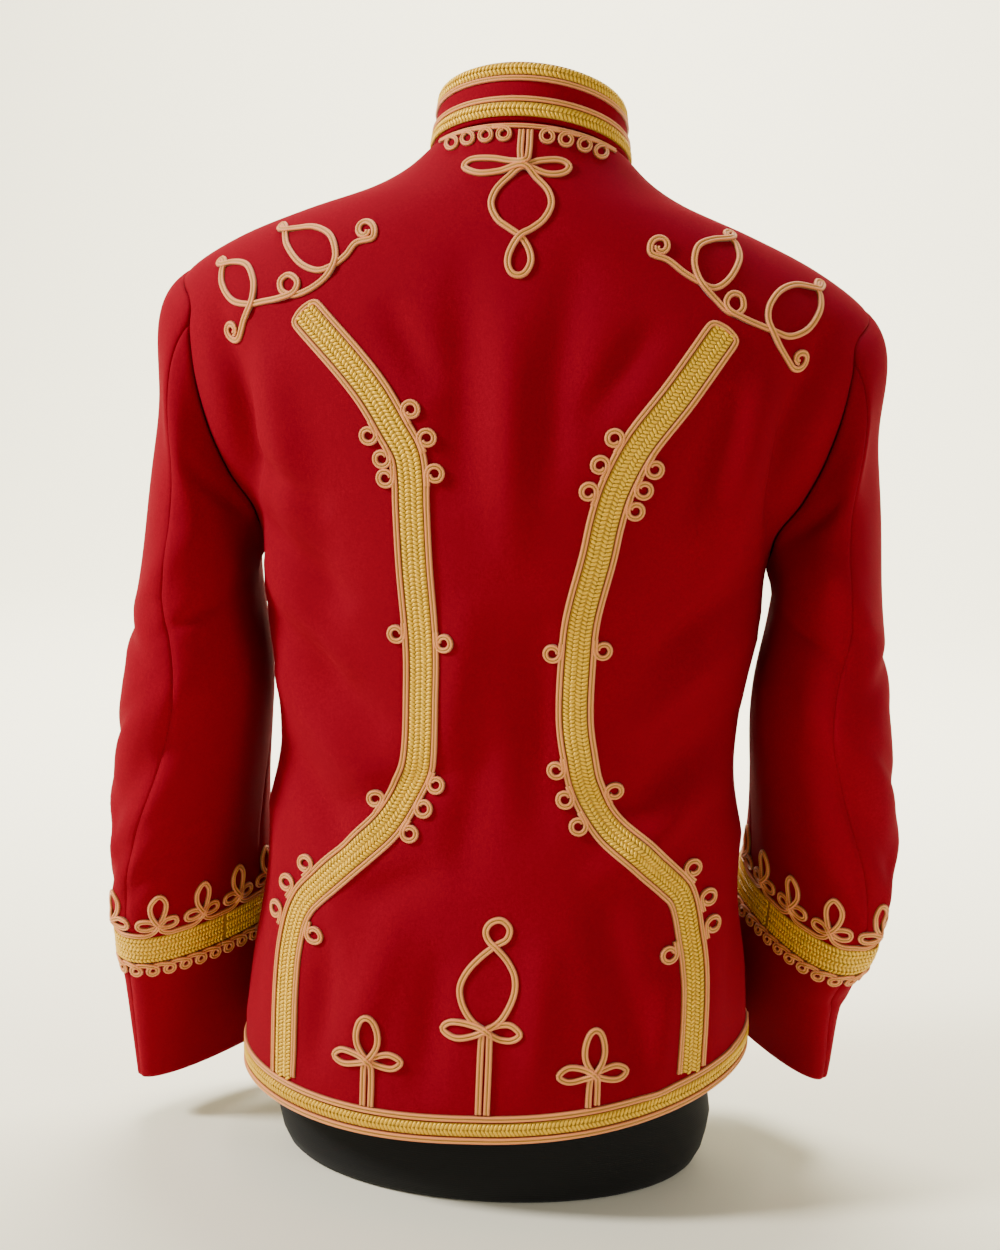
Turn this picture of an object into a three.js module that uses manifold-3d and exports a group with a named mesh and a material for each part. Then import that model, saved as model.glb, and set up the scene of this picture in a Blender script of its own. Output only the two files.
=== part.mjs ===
// A hussar tunic of red wool cloth, trimmed with gold lace and braid cord, on a limbless dress form.
// Millimetres, +Z up. The tunic's back faces -Y and its wearer's right side is +X. The form stands
// on its flat base at Z = 0. Each piece that is cut and sewn, or laid on, is its own closed solid.

import * as THREE from 'three';
import { mergeVertices } from 'three/addons/utils/BufferGeometryUtils.js';
import Module from 'manifold-3d';

const wasm = await Module();
wasm.setup();

// ---------------------------------------------------------------- driving dimensions
const wall = 2.2;              // thickness of the wool cloth
const seamGap = 0.3;           // between two pieces at a seam
// from the cloth's outside to the underside of lace and cord; more where both are coarse facets
const trimLift = { hem: 0.5, collar: 0.9, back: 1.0, cuff: 1.5, button: 0.5 };
const lapHalf = 9;             // each front passes the centre line by this much
const lapStep = 17;            // length over which the under front drops below the upper one
const lapDrop = wall + 0.5;
const lapRoom = 3;             // the form lies deeper by this much under the lapped fronts
const collarRise = 36;
const collarLift = 0.7;        // from the neck seam's edge to the collar's
const collarTaper = [0.92, 0.91];   // collar's top ring against its seam ring, across and in depth
const laceWidth = 15;
const cuffLaceWidth = 21;
const laceThick = 1.2;
const cordWidth = 4.2;
const cordHeight = 2.0;
const braidGap = 0.9;          // between a lace and the cord along its edge
const cordOffset = laceWidth / 2 + braidGap + cordWidth / 2;
const hemDip = { back: 11, front: 7 };   // the hem is lower at the centre than at the sides
const hemSkew = 14;            // the hem hangs lower on the wearer's left
const shoulderSkew = 0.02;     // rise per millimetre towards the wearer's left, at the shoulders
const buttonRadius = 8;
const buttonHeight = 5.5;
const buttonCount = 8;
const clothRed = 0xa5101d;
const laceGold = 0xc9a544;
const cordSalmon = 0xdfa878;
const formBlack = 0x0d0d0e;
const rad = Math.PI / 180;

// a table's rows, as one list for each named column
function table(names, rows) {
  return Object.fromEntries(names.map((name, i) => [name, rows.map((row) => row[i])]));
}

// The torso's rings from the hem to the neck seam. armhole: how far round from the centre back or
// front, in degrees, a panel reaches (90 is a side seam or a shoulder seam). formHalf and formInset
// give the dress form's half width and how far it lies inside the cloth.
const rings = table(
  ['z', 'half', 'back', 'front', 'square', 'tilt', 'armhole', 'formHalf', 'formInset'],
  [
    [66, 177, 128, 118, 2.3, 0, 90, 159, 15],
    [140, 176, 125, 117, 2.35, 0, 90, 160, 14],
    [220, 168, 114, 112, 2.3, 0, 90, 154, 13],
    [300, 161, 106, 110, 2.25, 0, 90, 147, 12],
    [370, 169, 111, 115, 2.25, 0, 90, 155, 12],
    [425, 177, 118, 120, 2.25, 0, 90, 163, 12],
    [452, 186, 120, 120, 2.25, 0, 76, 167, 12],
    [480, 205, 121, 117, 2.2, 0, 68, 171, 12],
    [510, 223, 120, 112, 2.2, 0, 64, 175, 11],
    [540, 236, 117, 105, 2.2, 0, 62, 179, 10],
    [565, 240, 112, 99, 2.15, 1, 63, 184, 9],
    [587, 235, 107, 92, 2.1, 2, 68, 189, 8],
    [608, 224, 100, 84, 2.0, 3, 90, 192, 5.5],
    [629, 192, 92, 74, 1.95, 7, 90, 184, 3.8],
    [645, 153, 84, 66, 1.95, 11, 90, 153, 3.3],
    [658, 112, 76, 62, 1.95, 15, 90, 112, 3.3],
    [671, 86, 68, 62, 2.0, 18, 90, 86, 3.5],
    [688, 66, 61, 64, 2.0, 21, 90, 66, 4.3],
  ],
);
const neckRing = rings.z.length - 1;
const armpitRing = 5;
const shoulderRing = 12;

// Long soft folds of the torso: centre line across, half width, lowest and highest point, depth.
const torsoFolds = table(
  ['x', 'spread', 'low', 'high', 'depth'],
  [
    [177, 11, 380, 585, 9],
    [143, 16, 330, 520, -3],
    [118, 14, 300, 470, 2.5],
    [98, 18, 150, 290, -2],
  ],
);

// The sleeves' rings from the biceps to the cuff: height and centre, half length, half thickness,
// and the turn of the long side from crosswise (0) to fore and aft (90).
const sleeveColumns = ['z', 'x', 'y', 'long', 'short', 'turn'];
const sleeveRings = {
  right: table(sleeveColumns, [
    [395, 213.5, 0, 74, 37.5, 88],
    [324, 214.5, -3, 70, 43.5, 78],
    [215, 221, 13, 72, 37, 60],
    [148, 202, 40, 68, 27, 57],
    [80, 190, 64, 70, 20, 47],
  ]),
  left: table(sleeveColumns, [
    [395, 216.5, 0, 74, 39.5, 88],
    [324, 217, -3, 70, 46, 78],
    [215, 223.5, 8, 72, 37.5, 60],
    [135, 217, 29, 71, 29, 52],
    [47, 209, 46, 70, 20, 46],
  ]),
};
const sleeveSquare = 2.2;
// how far the sleeve head's curve keeps each end's way, and that way; the left shoulder is squarer
const headReach = { start: 0.25, top: 0.18, end: 0.48 };
const headTop = { right: [0.84, 0, -0.54], left: [0.93, 0, -0.36] };
const headWays = { back: [0.5, -0.2, -0.84],
  under: [0.6, 0, -0.8], front: [0.5, 0.2, -0.84] };
// where the hind-arm and forearm seams run, in degrees round the sleeve, at its head and each ring
const sleeveSeams = table(
  ['hind', 'fore'],
  [[130, 306], [101, 318], [77, 328], [82, 332], [88, 332], [90, 332]],
);
// Folds of a sleeve: place down it (ring number + 1), degrees round it, their spreads, and depth.
const sleeveFolds = table(
  ['down', 'round', 'spreadDown', 'spreadRound', 'slant', 'depth'],
  [
    [0.62, 120, 0.16, 38, 0.0, 4],
    [1.95, 84, 0.3, 42, 0.004, -5],
    [2.5, 96, 0.26, 55, 0.011, 6],
    [2.35, 250, 0.3, 50, -0.006, 4],
    [0.5, 180, 0.2, 45, 0.0, 7],
    [1.9, 0, 0.8, 30, 0.0, -3],
    [1.9, 360, 0.8, 30, 0.0, -3],
  ],
);

// how finely each piece is divided
const lowRows = 8;
const armholeRows = 9;
const topRows = 5;
const backColumns = 16;
const frontColumns = 9;
const headRows = 4;
const armRows = 9;

// ---------------------------------------------------------------- curves and surfaces
// smooth value of a list at a fractional place
function along(values, place) {
  const last = values.length - 1;
  const u = Math.min(Math.max(place, 0), last);
  const i = Math.min(Math.floor(u), last - 1);
  const t = u - i;
  const [p1, p2] = [values[i], values[i + 1]];
  const p0 = i > 0 ? values[i - 1] : p1;
  const p3 = i + 2 <= last ? values[i + 2] : p2;
  const m1 = (p2 - p0) / 2;
  const m2 = (p3 - p1) / 2;
  return (2 * t ** 3 - 3 * t ** 2 + 1) * p1 + (t ** 3 - 2 * t ** 2 + t) * m1
    + (3 * t ** 2 - 2 * t ** 3) * p2 + (t ** 3 - t ** 2) * m2;
}

// the same through a list whose ends go straight on
function alongStraight(values, place) {
  const n = values.length;
  return along([2 * values[0] - values[1], ...values, 2 * values[n - 1] - values[n - 2]], place + 1);
}

const signedPower = (value, power) => Math.sign(value) * Math.abs(value) ** power;
const smooth = (t) => { const k = Math.min(Math.max(t, 0), 1); return k * k * (3 - 2 * k); };
const mix = (a, b, t) => a + (b - a) * t;

function ringPoint(angle, place, half) {
  const s = Math.sin(angle);
  const c = Math.cos(angle);
  const power = 2 / along(rings.square, place);
  const depth = along(c > 0 ? rings.back : rings.front, place);
  const x = half * signedPower(s, power);
  const y = -depth * signedPower(c, power);
  const nearHem = Math.max(0, 1 - place / 1.6);
  const dip = (c > 0 ? hemDip.back : hemDip.front) * (1 - 2 * c * c) + hemSkew * s;
  const skew = shoulderSkew * Math.min(Math.max((place - 4) / 6, 0), 1);
  const z = along(rings.z, place) - Math.tan(along(rings.tilt, place) * rad) * y
    + dip * nearHem - skew * x;
  return new THREE.Vector3(x, y, z);
}

function foldDepth(p, folds) {
  let depth = 0;
  folds.x.forEach((x, i) => {
    const across = Math.exp(-(((Math.abs(p.x) - x) / folds.spread[i]) ** 2));
    const t = (p.z - folds.low[i]) / (folds.high[i] - folds.low[i]);
    const up = t > 0 && t < 1 ? Math.sin(Math.PI * t) ** 0.7 : 0;
    depth += folds.depth[i] * across * up;
  });
  return depth;
}

// the outside of the cloth
function torsoPoint(angle, place) {
  const p = ringPoint(angle, place, along(rings.half, place));
  const depth = foldDepth(p, torsoFolds);
  p.x -= depth * Math.sin(angle);
  p.y += depth * Math.cos(angle);
  return p;
}

// a surface's outward normal from small steps; side is -1 where the steps turn the other way
function surfaceNormal(point, a, b, stepA, stepB, side = 1) {
  const da = point(a + stepA, b).sub(point(a - stepA, b));
  const db = point(a, b + stepB).sub(point(a, b - stepB));
  return da.cross(db).multiplyScalar(side).normalize();
}
const torsoNormal = (angle, place) => surfaceNormal(torsoPoint, angle, place, 0.02, 0.05);

// angle at which a ring passes a distance across
function angleAt(x, place) {
  const ratio = Math.min(Math.abs(x) / along(rings.half, place), 1);
  return Math.sign(x) * Math.asin(ratio ** (along(rings.square, place) / 2));
}

// ---------------------------------------------------------------- the torso's one grid
// Columns run from the right front's edge by the right side, the back and the left side to the left
// front's edge. Side columns are doubled, so that each panel is a range of columns.
const steps = (count, from, to) => Array.from({ length: count }, (_, i) => mix(from, to, i / count));
const rowPlaces = [...steps(lowRows, 0, armpitRing), ...steps(armholeRows, armpitRing, shoulderRing),
  ...steps(topRows, shoulderRing, neckRing), neckRing];
const armpitRow = lowRows;
const shoulderRow = lowRows + armholeRows;
const neckRow = rowPlaces.length - 1;

function columnAngles(place) {
  const reach = Math.min(along(rings.armhole, place), 90) * rad;
  const rightEdge = [-lapHalf, lapHalf + 1, lapHalf + lapStep].map((x) => Math.PI - angleAt(x, place));
  const side = Math.PI - reach;
  const rest = frontColumns - 2;
  const right = [...rightEdge];
  for (let i = 1; i <= rest; i += 1) right.push(mix(rightEdge[2], side, i / rest));
  const back = [];
  for (let i = 0; i <= backColumns; i += 1) back.push(mix(reach, -reach, i / backColumns));
  const left = [];
  const leftEdge = -Math.PI - angleAt(lapHalf, place);
  for (let i = 0; i <= frontColumns; i += 1) left.push(mix(-side, leftEdge, i / frontColumns));
  return [...right, ...back, ...left];
}
const backStart = frontColumns + 1;
const leftStart = backStart + backColumns + 1;
const leftEnd = leftStart + frontColumns;
const panels = { front_right: [0, frontColumns], back: [backStart, backStart + backColumns],
  front_left: [leftStart, leftEnd] };

const torso = rowPlaces.map((place) => columnAngles(place).map((angle, column) => {
  const p = torsoPoint(angle, place);
  const n = torsoNormal(angle, place);
  const drop = column < 2 ? lapDrop : 0;
  return { p: p.addScaledVector(n, -drop), n };
}));

// point and normal of a grid at a fractional row and column, on the grid's own flat triangles
function onGrid(grid, row, column) {
  const r = Math.min(Math.max(row, 0), grid.length - 1.0001);
  const wide = grid[0].length;
  const c = Math.min(Math.max(column, 0), wide - 1.0001);
  const [i, j] = [Math.floor(r), Math.floor(c)];
  const [v, u] = [r - i, c - j];
  const corners = [grid[i][j], grid[i][j + 1], grid[i + 1][j + 1], grid[i + 1][j]];
  const weights = u > v ? [1 - u, u - v, v, 0] : [1 - v, 0, u, v - u];
  const p = new THREE.Vector3();
  const n = new THREE.Vector3();
  corners.forEach((corner, k) => {
    p.addScaledVector(corner.p, weights[k]);
    n.addScaledVector(corner.n, weights[k]);
  });
  return { p, n: n.normalize() };
}

function fractionalIndex(list, value) {
  let i = 0;
  while (i < list.length - 2 && value > list[i + 1]) i += 1;
  return i + (value - list[i]) / (list[i + 1] - list[i]);
}

// ---------------------------------------------------------------- closed solids
function bufferSolid(points, faces) {
  let volume = 0;
  faces.forEach(([a, b, c]) => {
    volume += points[a].dot(new THREE.Vector3().crossVectors(points[b], points[c]));
  });
  const index = volume < 0 ? faces.map(([a, b, c]) => [a, c, b]) : faces;
  const geometry = new THREE.BufferGeometry();
  geometry.setAttribute('position', new THREE.Float32BufferAttribute(
    points.flatMap((p) => [p.x, p.y, p.z]), 3));
  geometry.setIndex(index.flat());
  return geometry;
}

// a wall between an outer and an inner net of points; wrap joins the last column to the first
function wallSolid(outer, inner, wrap = false) {
  const rows = outer.length;
  const wide = outer[0].length;
  const points = [...outer.flat(), ...inner.flat()];
  const at = (layer, i, j) => layer * rows * wide + i * wide + (j % wide);
  const faces = [];
  const spans = wrap ? wide : wide - 1;
  const quad = (a, b, c, d) => faces.push([a, b, c], [a, c, d]);
  for (let i = 0; i < rows - 1; i += 1) {
    for (let j = 0; j < spans; j += 1) {
      quad(at(0, i, j), at(0, i, j + 1), at(0, i + 1, j + 1), at(0, i + 1, j));
      quad(at(1, i, j), at(1, i + 1, j), at(1, i + 1, j + 1), at(1, i, j + 1));
    }
  }
  for (let j = 0; j < spans; j += 1) {
    quad(at(1, 0, j), at(1, 0, j + 1), at(0, 0, j + 1), at(0, 0, j));
    quad(at(0, rows - 1, j), at(0, rows - 1, j + 1), at(1, rows - 1, j + 1), at(1, rows - 1, j));
  }
  for (let i = 0; i < rows - 1 && !wrap; i += 1) {
    quad(at(0, i, 0), at(0, i + 1, 0), at(1, i + 1, 0), at(1, i, 0));
    quad(at(0, i, wide - 1), at(1, i, wide - 1), at(1, i + 1, wide - 1), at(0, i + 1, wide - 1));
  }
  return bufferSolid(points, faces);
}

// Cloth from a range of a grid's columns. Its edges are drawn in by half a seam's gap, and where two
// walls meet at an outward corner both are cut along the same mitre.
function clothPanel(grid, from, to, mitreAt = () => null) {
  const outer = [];
  const inner = [];
  grid.forEach((row, i) => {
    const part = row.slice(from, to + 1);
    outer.push(part.map((vertex) => vertex.p.clone()));
    inner.push(part.map((vertex, j) => {
      const mitre = mitreAt(i, from + j);
      const way = mitre ?? vertex.n;
      const length = wall / Math.max(way.dot(vertex.n), 0.6);
      return vertex.p.clone().addScaledVector(way, -length);
    }));
  });
  const last = [outer.length - 1, outer[0].length - 1];
  [outer, inner].forEach((net) => {
    const still = net.map((row) => row.map((p) => p.clone()));
    net.forEach((row, i) => row.forEach((p, j) => {
      const rowStep = i === 0 ? 1 : i === last[0] ? -1 : 0;
      const columnStep = j === 0 ? 1 : j === last[1] ? -1 : 0;
      [[rowStep, 0], [0, columnStep]].forEach(([di, dj]) => {
        if (di === 0 && dj === 0) return;
        const towards = still[i + di][j + dj].clone().sub(still[i][j]).normalize();
        p.addScaledVector(towards, seamGap / 2);
      });
    }));
  });
  return wallSolid(outer, inner);
}

// ---------------------------------------------------------------- sleeves
// A sleeve is a grid too. Column 0 starts at the armpit, the next ones go up the back of the armhole
// to the shoulder and down its front. Rows run from the armhole down to the cuff.
function sleeveGrid(side) {
  const turn = side === 'right' ? 1 : -1;
  const shape = sleeveRings[side];
  const edgeColumn = side === 'right'
    ? { back: backStart, front: frontColumns }
    : { back: backStart + backColumns, front: leftStart };
  const hole = [];
  for (let row = armpitRow; row <= shoulderRow; row += 1) hole.push([row, edgeColumn.back]);
  for (let row = shoulderRow - 1; row > armpitRow; row -= 1) hole.push([row, edgeColumn.front]);
  const holePoints = hole.map(([row, column]) => torso[row][column].p);
  const holeAngles = [0];
  [[0, armholeRows], [armholeRows, hole.length]].forEach(([from, to], half) => {
    const lengths = [0];
    for (let k = from; k < to; k += 1) {
      const next = holePoints[(k + 1) % hole.length];
      lengths.push(lengths[lengths.length - 1] + next.distanceTo(holePoints[k]));
    }
    const total = lengths[lengths.length - 1];
    lengths.slice(1).forEach((length) => holeAngles.push(180 * (half + length / total)));
  });
  const centre = (place) => new THREE.Vector3(turn * alongStraight(shape.x, place),
    alongStraight(shape.y, place), alongStraight(shape.z, place));
  const ring = (angle, place) => {
    const way = centre(place + 0.02).sub(centre(place - 0.02)).normalize();
    const twist = alongStraight(shape.turn, place) * rad;
    const longWay = new THREE.Vector3(-turn * Math.cos(twist), Math.sin(twist), 0);
    longWay.addScaledVector(way, -longWay.dot(way)).normalize();
    const shortWay = new THREE.Vector3().crossVectors(longWay, way).multiplyScalar(turn);
    if (shortWay.x * turn < 0) shortWay.negate();
    const power = 2 / sleeveSquare;
    const short = alongStraight(shape.short, place) * signedPower(Math.cos(angle), power);
    const long = alongStraight(shape.long, place) * signedPower(Math.sin(angle), power);
    return centre(place).addScaledVector(shortWay, -short).addScaledVector(longWay, -long);
  };
  // point of the armhole at any degree round it
  const holeAt = (degrees) => {
    const d = ((degrees % 360) + 360) % 360;
    const k = fractionalIndex(holeAngles, d);
    const i = Math.floor(k);
    return holePoints[i].clone().lerp(holePoints[(i + 1) % hole.length], k - i);
  };
  const head = (degrees, t) => {
    const angle = degrees * rad;
    const [s, c] = [Math.sin(angle), Math.cos(angle)];
    const start = holeAt(degrees);
    const end = ring(angle, 0);
    const endWay = ring(angle, 0.05).sub(end).normalize();
    const startWay = new THREE.Vector3();
    const weights = { top: Math.max(0, -c), under: Math.max(0, c), back: Math.max(0, s),
      front: Math.max(0, -s) };
    Object.entries(weights).forEach(([name, weight]) => {
      const [x, y, z] = name === 'top' ? headTop[side] : headWays[name];
      startWay.addScaledVector(new THREE.Vector3(turn * x, y, z), weight ** 2);
    });
    const length = start.distanceTo(end);
    const reach = mix(headReach.start, headReach.top, weights.top ** 2);
    const first = start.clone().addScaledVector(startWay.normalize(), reach * length);
    const second = end.clone().addScaledVector(endWay, -headReach.end * length);
    return new THREE.CubicBezierCurve3(start, first, second, end).getPoint(t);
  };
  // fraction of a panel's width that each column keeps all the way down
  const [hind0, fore0] = [sleeveSeams.hind[0], sleeveSeams.fore[0]];
  const degreesAt = (column, down) => {
    const start = holeAngles[column];
    const hind = along(sleeveSeams.hind, down);
    const fore = along(sleeveSeams.fore, down);
    if (start >= hind0 && start <= fore0) return mix(hind, fore, (start - hind0) / (fore0 - hind0));
    const wide0 = 360 + hind0 - fore0;
    const from = start > fore0 ? start - fore0 : start + 360 - fore0;
    return mix(fore, 360 + hind, from / wide0);
  };
  const plain = (degrees, down) => (down < 1 ? head(degrees, down) : ring(degrees * rad, down - 1));
  const folded = (degrees, down) => {
    const p = plain(degrees, down);
    const d = ((degrees % 360) + 360) % 360;
    let depth = 0;
    sleeveFolds.down.forEach((place, i) => {
      const round = d - sleeveFolds.round[i];
      const off = (down - place - sleeveFolds.slant[i] * round) / sleeveFolds.spreadDown[i];
      depth += sleeveFolds.depth[i] * Math.exp(-off * off)
        * Math.exp(-((round / sleeveFolds.spreadRound[i]) ** 2));
    });
    const n = surfaceNormal(plain, degrees, down, 1, 0.02, -turn);
    return p.addScaledVector(n, -depth);
  };
  const sleeveNormal = (degrees, down) => (
    surfaceNormal(folded, degrees, Math.min(Math.max(down, 0.03), 4.97), 1, 0.02, -turn));
  const downs = [...steps(headRows, 0, 1), ...steps(armRows, 1, 5), 5];
  const grid = downs.map((down, i) => hole.map(([row, column], k) => {
    const degrees = degreesAt(k, down);
    const p = i === 0 ? torso[row][column].p.clone() : folded(degrees, down);
    return { p, n: sleeveNormal(degrees, down), degrees, down };
  }));
  // the smooth sleeve at a fractional column and place down it
  grid.at = (column, down) => {
    const c = ((column % hole.length) + hole.length) % hole.length;
    const k = Math.floor(c);
    const here = degreesAt(k, down);
    const onward = (degreesAt((k + 1) % hole.length, down) - here + 720) % 360;
    const degrees = here + onward * (c - k);
    return { p: folded(degrees, down), n: sleeveNormal(degrees, down) };
  };
  return grid;
}
const sleeves = { right: sleeveGrid('right'), left: sleeveGrid('left') };
const sleeveColumnCount = sleeves.right[0].length;

// seam columns of a sleeve: the ones nearest to the seams' places at the armhole
function seamColumn(grid, degrees) {
  const angles = grid[0].map((vertex) => vertex.degrees % 360);
  return angles.reduce((best, a, k) => (Math.abs(a - degrees) < Math.abs(angles[best] - degrees)
    ? k : best), 0);
}

// mitre at the armhole: both walls are cut along the plane half way between them, unless the fold
// between them is a sharp one, where they part by themselves
const mitres = new Map();
Object.entries(sleeves).forEach(([side, grid]) => {
  const columns = side === 'right'
    ? { back: backStart, front: frontColumns }
    : { back: backStart + backColumns, front: leftStart };
  grid[0].forEach((vertex, k) => {
    const climbs = k <= armholeRows;
    const row = climbs ? armpitRow + k : shoulderRow - (k - armholeRows);
    const both = k === 0 || k === armholeRows;
    const names = both ? ['back', 'front'] : [climbs ? 'back' : 'front'];
    const bodies = names.map((name) => torso[row][columns[name]].n);
    const body = bodies.reduce((sum, n) => sum.add(n), new THREE.Vector3()).normalize();
    if (body.dot(vertex.n) < 0.1) return;
    const way = body.clone().add(vertex.n).normalize();
    names.forEach((name) => mitres.set(`torso ${row} ${columns[name]}`, way));
    mitres.set(`${side} ${k}`, way);
  });
});

// ---------------------------------------------------------------- lace and cord
// A trim follows a path of places on a surface. A place is a pair of numbers, and the surface's map
// turns it into a point and a normal.
function surfaceStep(map, place, offset) {
  const step = 0.25;
  const du = map([place[0] + step, place[1]]).p.sub(map([place[0] - step, place[1]]).p);
  const dv = map([place[0], place[1] + step]).p.sub(map([place[0], place[1] - step]).p);
  du.divideScalar(2 * step);
  dv.divideScalar(2 * step);
  const [uu, uv, vv] = [du.dot(du), du.dot(dv), dv.dot(dv)];
  const [ou, ov] = [offset.dot(du), offset.dot(dv)];
  const det = Math.max(uu * vv - uv * uv, 1e-6);
  return [place[0] + (ou * vv - ov * uv) / det, place[1] + (ov * uu - ou * uv) / det];
}

// frames along a path: point, normal and the way across
function pathFrames(map, path, closed) {
  const spots = path.map((place) => map(place));
  return spots.map((spot, i) => {
    const n = spots.length;
    const next = spots[closed ? (i + 1) % n : Math.min(i + 1, n - 1)].p;
    const before = spots[closed ? (i + n - 1) % n : Math.max(i - 1, 0)].p;
    const along3 = next.clone().sub(before).normalize();
    const across = new THREE.Vector3().crossVectors(along3, spot.n).normalize();
    return { ...spot, across, place: path[i] };
  });
}

// moves a path sideways on its surface
function shifted(map, path, distance, closed = false) {
  return pathFrames(map, path, closed)
    .map(({ across, place }) => surfaceStep(map, place, across.clone().multiplyScalar(distance)));
}

function sweptTrim(map, path, width, height, flat, closed) {
  const frames = pathFrames(map, path, closed);
  const sections = frames.map(({ p, n, across, place }) => {
    const edge = (side) => {
      if (!flat) {
        return p.clone().addScaledVector(across, side * width / 2).addScaledVector(n, map.lift);
      }
      const spot = map(surfaceStep(map, place, across.clone().multiplyScalar(side * width / 2)));
      return spot.p.addScaledVector(spot.n, map.lift);
    };
    const [left, right] = [edge(-1), edge(1)];
    if (!flat) return [left, right, p.clone().addScaledVector(n, map.lift + height)];
    const raised = [right, left].map((point) => point.clone().addScaledVector(n, height));
    return [left, right, ...raised];
  });
  const size = sections[0].length;
  const faces = [];
  const count = sections.length;
  for (let i = 0; i < (closed ? count : count - 1); i += 1) {
    const a = i * size;
    const b = ((i + 1) % count) * size;
    for (let k = 0; k < size; k += 1) {
      const m = (k + 1) % size;
      faces.push([a + k, b + k, b + m], [a + k, b + m, a + m]);
    }
  }
  if (!closed) {
    const z = (count - 1) * size;
    for (let k = 1; k < size - 1; k += 1) faces.push([0, k, k + 1], [z, z + k + 1, z + k]);
  }
  return bufferSolid(sections.flat(), faces);
}
const cord = (map, path, closed = false, width = cordWidth) => (
  sweptTrim(map, path, width, cordHeight, false, closed));
// a curl: a low six-sided cone
function coil(map, centre, radius, height = cordHeight) {
  const rim = ringFigure(centre, radius, radius, 6).map((place) => {
    const { p, n } = map(place);
    return p.addScaledVector(n, map.lift);
  });
  const { p, n } = map(centre);
  rim.push(p.clone().addScaledVector(n, map.lift + height));
  const faces = [[0, 1, 2], [0, 2, 3], [0, 3, 4], [0, 4, 5]];
  for (let k = 0; k < 6; k += 1) faces.push([(k + 1) % 6, k, 6]);
  return bufferSolid(rim, faces);
}
const lace = (map, path, width = laceWidth, closed = false) => (
  sweptTrim(map, path, width, laceThick, true, closed));

function manifoldOf(geometry) {
  const merged = mergeVertices(geometry, 1e-4);
  return new wasm.Manifold(new wasm.Mesh({
    numProp: 3,
    vertProperties: merged.attributes.position.array,
    triVerts: new Uint32Array(merged.index.array),
  }));
}

// joins runs that cross or touch into one solid, and drops crumbs and pockets shut in between them
function joined(geometries) {
  const union = geometries.map(manifoldOf).reduce((a, b) => a.add(b));
  const largest = (solid) => solid.decompose().reduce((a, b) => (b.volume() > a.volume() ? b : a));
  const sum = largest(largest(union).simplify(0.02));
  const { vertProperties, triVerts } = sum.getMesh();
  const geometry = new THREE.BufferGeometry();
  geometry.setAttribute('position', new THREE.BufferAttribute(new Float32Array(vertProperties), 3));
  geometry.setIndex(new THREE.BufferAttribute(new Uint32Array(triVerts), 1));
  return geometry;
}

// ---------------------------------------------------------------- flat figures of the cord work
const polar = (centre, radius, degrees) => [centre[0] + radius * Math.cos(degrees * rad),
  centre[1] + radius * Math.sin(degrees * rad)];

function ringFigure(centre, radiusX, radiusZ, count) {
  return Array.from({ length: count }, (_, i) => {
    const [u, v] = polar([0, 0], 1, (360 * i) / count);
    return [centre[0] + radiusX * u, centre[1] + radiusZ * v];
  });
}

// a loop that leaves a crossing, swells to its half width and comes back
function dropFigure(crossing, tip, halfWidth, count) {
  const [dx, dz] = [tip[0] - crossing[0], tip[1] - crossing[1]];
  const length = Math.hypot(dx, dz);
  return Array.from({ length: count }, (_, i) => {
    const t = ((i + 0.5) / count) * 2 * Math.PI;
    const out = (1 - Math.cos(t)) / 2;
    const aside = (halfWidth / length) * 1.3 * Math.sin(t) * Math.sin(t / 2);
    return [crossing[0] + dx * out - dz * aside, crossing[1] + dz * out + dx * aside];
  });
}

// one side of a pointed eye between two crossings
function eyeSide(from, to, bulge, count) {
  const [dx, dz] = [to[0] - from[0], to[1] - from[1]];
  const length = Math.hypot(dx, dz);
  return Array.from({ length: count + 1 }, (_, i) => {
    const t = i / count;
    const aside = (bulge / length) * Math.sin(Math.PI * t);
    return [from[0] + dx * t - dz * aside, from[1] + dz * t + dx * aside];
  });
}

function spiralFigure(centre, outer, inner, startDegrees, turnDegrees, count) {
  return Array.from({ length: count + 1 }, (_, i) => (
    polar(centre, mix(outer, inner, i / count), startDegrees + (turnDegrees * i) / count)));
}

// points at about equal distances on a smooth curve through a few of them
function smoothPath(points, spacing) {
  const curve = new THREE.CatmullRomCurve3(points.map(([x, z]) => new THREE.Vector3(x, z, 0)),
    false, 'centripetal');
  const count = Math.max(2, Math.round(curve.getLength() / spacing));
  return curve.getSpacedPoints(count).map((p) => [p.x, p.y]);
}

// ---------------------------------------------------------------- trims of the torso
// place on the back panel: distance across and height
function onBack([x, z]) {
  let [low, high] = [0, neckRing];
  for (let i = 0; i < 40; i += 1) {
    const middle = (low + high) / 2;
    const height = ringPoint(angleAt(x, middle), middle, along(rings.half, middle)).z;
    if (height < z) low = middle; else high = middle;
  }
  const angle = angleAt(x, low);
  return { p: torsoPoint(angle, low), n: torsoNormal(angle, low) };
}

onBack.lift = trimLift.back;

// place on the hem: column of the torso's grid and height above the edge
const hemRowHeights = torso[0].map((vertex, c) => torso.map((row) => row[c].p.distanceTo(vertex.p)));
function onHem([column, height]) {
  const c = Math.min(Math.max(Math.round(column), 0), leftEnd);
  return onGrid(torso, fractionalIndex(hemRowHeights[c], height), column);
}

onHem.lift = trimLift.hem;

const hemCordLow = 2.6;
const hemLaceWidth = 9;
const hemLaceMiddle = hemCordLow + cordWidth / 2 + braidGap + hemLaceWidth / 2;
const hemCordHigh = hemLaceMiddle + hemLaceWidth / 2 + braidGap + cordWidth / 2;
const hemTrimTop = hemCordHigh + cordWidth / 2 + 0.5;   // a cord that comes down ends here
const hemHeightAt = (x) => ringPoint(angleAt(x, 0), 0, rings.half[0]).z + hemTrimTop;
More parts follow.
